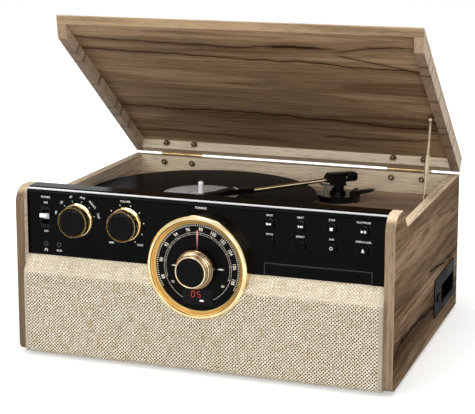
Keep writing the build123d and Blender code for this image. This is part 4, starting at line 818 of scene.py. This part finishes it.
# ------------ record player
# Turned aluminium platter with a ribbed rubber mat and a 12 inch vinyl record, on a moulded chassis
# screwed to the deck board. The brass tonearm swings on a moulded base.
grained_abs = moulded("grained_black_abs", ("#0f0f10", "#181819"), 0.4, 0.6, 0.25, 0.4)
dress(grained_abs, "turntable_chassis", "speed_lever", "arm_rest", "cd_drive", "speaker_drivers")
arm_abs = moulded("polished_arm_abs", ("#060607", "#0c0c0d"), 0.16, 1.5, 0.02, 0.28)
dress(arm_abs, "tonearm_base", "tonearm_turret", "tonearm_housing", "headshell", "cue_lever")
dress(worked_metal("turned_aluminium", "#fafafa", "#ececee", 0.5), "platter")
dress(worked_metal("pale_brass_tube", "#dccfa9", "#c9ba90", 0.16), "tonearm_tube")


def screw(name, spot, outward, radius, body):
    """Pan head with a recess, standing on a spot and facing outward."""
    only()
    bpy.ops.mesh.primitive_cylinder_add(vertices=24, radius=radius, depth=radius * 0.6)
    head = opened(name)
    pick(head, lambda c, f: f.normal.z > 0.9)
    bpy.ops.mesh.bevel(offset=radius * 0.22, segments=2)
    pick(head, lambda c, f: f.normal.z > 0.99)
    bpy.ops.mesh.inset(thickness=radius * 0.3)
    bpy.ops.transform.translate(value=(0, 0, -radius * 0.3))
    closed(40)
    head.rotation_euler = outward.to_track_quat("Z", "Y").to_euler()
    head.location = spot + outward * radius * 0.25
    bpy.ops.object.transform_apply()
    head.data.materials.append(zinc_steel)
    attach(head, body)


# Two screws hold the cartridge under the headshell, and one holds the housing's cover.
headshell = middle_of("headshell")
along = Vector((cos(radians(39)), sin(radians(39)), 0))
across = Vector((-along.y, along.x, 0))
for k, side in enumerate((-1, 1)):
    above = headshell + along * 0.012 + across * side * 0.0042
    _, spot, outward, _ = node["headshell"].ray_cast((above.x, above.y, 0.3), (0, 0, -1))
    screw("headshell_screw_" + str(k + 1), spot, outward, 0.0017, "arm")
housing = middle_of("tonearm_housing")
_, spot, outward, _ = node["tonearm_housing"].ray_cast((housing.x + 0.008, -0.3, housing.z), (0, 1, 0))
screw("housing_screw", spot, outward, 0.0018, "arm")

spindle = middle_of("record")
level = (1, 1, 0)
# Vinyl: real grooves are 0.1 mm apart, drawn at 0.8 mm so that they show, with smooth gaps
# between the tracks.
vinyl, place = new_material("pressed_vinyl")
radius = from_axis(vinyl, place, spindle, level)
groove = add(vinyl, "Math", [radius, 0.0004], "PINGPONG")
gap = add(vinyl, "Math", [radius, 0.0085], "PINGPONG")
smooth_gap = add(vinyl, "Math", [gap, 0.0006], "LESS_THAN")
cut = add(vinyl, "MapRange", [groove, 0, 0.0004])
bump = add(vinyl, "Bump", {"Height": cut, "Strength": 0.12, "Distance": 0.0002})
gloss = add(vinyl, "MapRange", [smooth_gap, 0, 1, 0.26, 0.12])
tone = add(vinyl, "Mix", {0: cut, 6: "#0b0c0e", 7: "#191a1d"})
finish(vinyl, "BsdfPrincipled", {
    "Base Color": tone, "Roughness": gloss, "IOR": 1.54, "Specular IOR Level": 0.004, "Normal": bump})
dress(vinyl, "record")

mat, place = new_material("ribbed_mat_rubber")
half_rib = 0.0015
rib = add(mat, "Math", [from_axis(mat, place, spindle, level), half_rib], "PINGPONG")
cut = add(mat, "MapRange", [rib, 0, half_rib])
bump = add(mat, "Bump", {"Height": cut, "Strength": 0.5, "Distance": 0.0006})
finish(mat, "BsdfPrincipled", {"Base Color": "#141414", "Roughness": 0.75, "Normal": bump})
dress(mat, "platter_mat")

# Paper label pressed into the record: pale grey with two printed rings and no lettering.
label_r, spindle_r = 0.05, 0.0037
pivot = (spindle.x, spindle.y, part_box("record")[1].z)
only()
bpy.ops.mesh.primitive_circle_add(vertices=96, radius=label_r, fill_type="NOTHING", location=pivot)
edge = 0.985
profile = ((edge, 0.00015), (spindle_r / (label_r * edge), 0))
label = drawn_out("record_label", pivot, [((part, part, 1), (0, 0, up)) for part, up in profile], 30)
paper, place = new_material("pressed_label_paper")
radius = from_axis(paper, place, spindle, level)
fibres = add(paper, "TexNoise", {"Vector": place, "Scale": 500, "Detail": 4})
ring = add(paper, "Math", [radius, 0.0465, 0.0005], "COMPARE")
inner = add(paper, "Math", [radius, 0.0165, 0.0005], "COMPARE")
lines = add(paper, "Math", [ring, inner], "MAXIMUM")
tone = add(paper, "Mix", {0: fibres, 6: "#c6c8cc", 7: "#dddee1"})
tone = add(paper, "Mix", {0: lines, 6: tone, 7: "#5c5e61"})
finish(paper, "BsdfPrincipled", {"Base Color": tone, "Roughness": 0.45})
label.data.materials.append(paper)
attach(label, "turntable")

# ------------ cassette slot
# Moulded ABS bezel and eject key with a fine grain, screwed into the right side board. Behind the slot
# hangs a smoother black flap that the cassette pushes in.
cassette_abs = moulded("cassette_black_abs", ("#101112", "#18191b"), 0.55, 0.6, 0.2, 0.02)
dress(cassette_abs, "cassette_deck", "cassette_key")
dress(moulded("cassette_flap_abs", ("#030303", "#070708"), 0.6, 0.8, 0.05, 0), "cassette_flap")

# ------------ back terminals
# Grained ABS plate, held by four screws. White and red rings mark the two sockets of the line output,
# whose collars are nickelled, and each socket's name is printed beside it.
terminal = middle_of("terminal_plate")
terminal_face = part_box("terminal_plate")[1].y - 0.008
plate, place = new_material("terminal_plate_abs")
depths = add(plate, "SeparateXYZ", [place])
proud = add(plate, "Math", [depths.outputs[1], terminal_face + 0.0002], "GREATER_THAN")
beyond = add(plate, "Math", [depths.outputs[1], terminal_face + 0.0017], "GREATER_THAN")
grain = add(plate, "TexNoise", {"Vector": place, "Scale": 1600, "Detail": 2})
tone = add(plate, "Mix", {0: grain, 6: "#141415", 7: "#1f1f21"})
tone = add(plate, "Mix", {0: proud, 6: tone, 7: "#c4c2bc"})
left, right = mounts["line_out_left"], mounts["line_out_right"]
between = (left + right) / 2
right_side = add(plate, "Math", [depths.outputs[0], between.x], "LESS_THAN")
ring = add(plate, "Mix", {0: right_side, 6: "#e8e4da", 7: "#a8201a"})
tone = add(plate, "Mix", {0: beyond, 6: tone, 7: ring})
collar = add(plate, "Math", [proud, beyond], "SUBTRACT")
dull = add(plate, "MapRange", [collar, 0, 1, 0.5, 0.28])
bump = add(plate, "Bump", {"Height": grain, "Strength": 0.2, "Distance": 0.0002})
finish(plate, "BsdfPrincipled", {"Base Color": tone, "Metallic": collar, "Roughness": dull, "Normal": bump})
dress(plate, "terminal_plate")
# Seen from behind, left and right change places.
above, below = between.z + 0.0125, between.z - 0.0095
words = (
    ("LINE OUT", between.x, above, 0.0032), ("R", right.x, below, 0.003), ("L", left.x, below, 0.003),
    ("DC IN", terminal.x + 0.03, above, 0.0032))
drawing = [text(word, -x, z, height) for word, x, z, height in words]
drawing.append(bar(-between.x, between.z + 0.0095, 0.026, 0.0004))
printed("terminal_printing", drawing, -terminal_face, "cabinet", white_ink, turn=pi)
corner = Vector((0.051, 0, 0.021))
for k, (side, up) in enumerate(((-1, -1), (1, -1), (-1, 1), (1, 1))):
    spot = Vector((terminal.x + side * corner.x, terminal_face, terminal.z + up * corner.z))
    screw("terminal_screw_" + str(k + 1), spot, Vector((0, 1, 0)), 0.002, "cabinet")

# ------------ studio
# White room and a floor of pale paper, as the camera and reflections see them. Three soft boxes light
# the object, and a strip lamp the polished mouldings.
world = bpy.data.worlds.new("studio")
bpy.context.scene.world = world
world.use_nodes = True
world.node_tree.nodes.clear()


def seen_directly(owner):
    """1 where the camera, a reflection or a clear material sees the surface, and 0 for its light."""
    ray = add(owner, "LightPath")
    mirror = add(owner, "Math", [ray.outputs["Is Camera Ray"], ray.outputs["Is Glossy Ray"]], "MAXIMUM")
    return add(owner, "Math", [mirror, ray.outputs["Is Transmission Ray"]], "MAXIMUM")


soft = add(world, "Background", {"Color": "#ffffff", "Strength": 0.42})
white = add(world, "Background", {"Color": "#ffffff", "Strength": 1})
both = add(world, "MixShader", [seen_directly(world), soft, white])
add(world, "OutputWorld", {"Surface": both})

only()
bpy.ops.mesh.primitive_plane_add(size=6)
floor = bpy.context.object
floor.name = "studio_floor"
floor_paper, place = new_material("pale_paper")
matte = add(floor_paper, "BsdfDiffuse", {"Color": "#f2f1ef"})
# The glow grows away from the object, so that the paper fades into the white room.
far = add(floor_paper, "VectorMath", [place], "LENGTH")
strength = add(floor_paper, "MapRange", [far, 0.35, 1.1, 0.4, 1])
glow = add(floor_paper, "Emission", {"Color": "#ffffff", "Strength": strength})
lit = add(floor_paper, "AddShader", [matte, glow])
finish(floor_paper, "MixShader", [seen_directly(floor_paper), matte, lit])
floor.data.materials.append(floor_paper)


def softbox(name, place, aim, size, power):
    """Rectangular studio lamp, turned towards a point."""
    bpy.ops.object.light_add(type="AREA", location=place)
    lamp = bpy.context.object
    lamp.name = name
    lamp.data.shape = "RECTANGLE"
    lamp.data.size, lamp.data.size_y = size
    lamp.data.energy = power
    lamp.rotation_euler = (Vector(aim) - Vector(place)).to_track_quat("-Z", "Y").to_euler()
    return lamp


softbox("key_softbox", (-0.9, -1.7, 1.1), (0, 0, 0.15), (1.1, 0.8), 12)
softbox("front_softbox", (0.7, -2, 0.55), (0, 0.1, 0.15), (1.4, 0.6), 13)
softbox("top_softbox", (0.1, -0.2, 1.7), (0, 0, 0.1), (1.4, 0.9), 15)
# The strip draws the bright line along the polished mouldings and lights nothing else.
strip = softbox("edge_strip", (0, -0.2, 1.4), (0, -0.15, 0.2), (2.2, 0.8), 1100)
strip.visible_diffuse = False
lit_by_strip = bpy.data.collections.new("polished_mouldings")
for piece in [node[name] for name in polished] + rims:
    lit_by_strip.objects.link(piece)
strip.light_linking.receiver_collection = lit_by_strip

bpy.ops.object.camera_add(location=(0.5841, -1.6813, 0.5775))
camera = bpy.context.object
target = Vector((-0.01451, 0.0127, 0.23375))
camera.rotation_euler = (target - camera.location).to_track_quat("-Z", "Y").to_euler()
camera.data.sensor_fit = "HORIZONTAL"
camera.data.sensor_width = 36
camera.data.lens = 108.77
camera.data.shift_x = -0.0047
camera.data.shift_y = -0.12
bpy.context.scene.camera = camera
bpy.context.scene.view_settings.view_transform = "Standard"
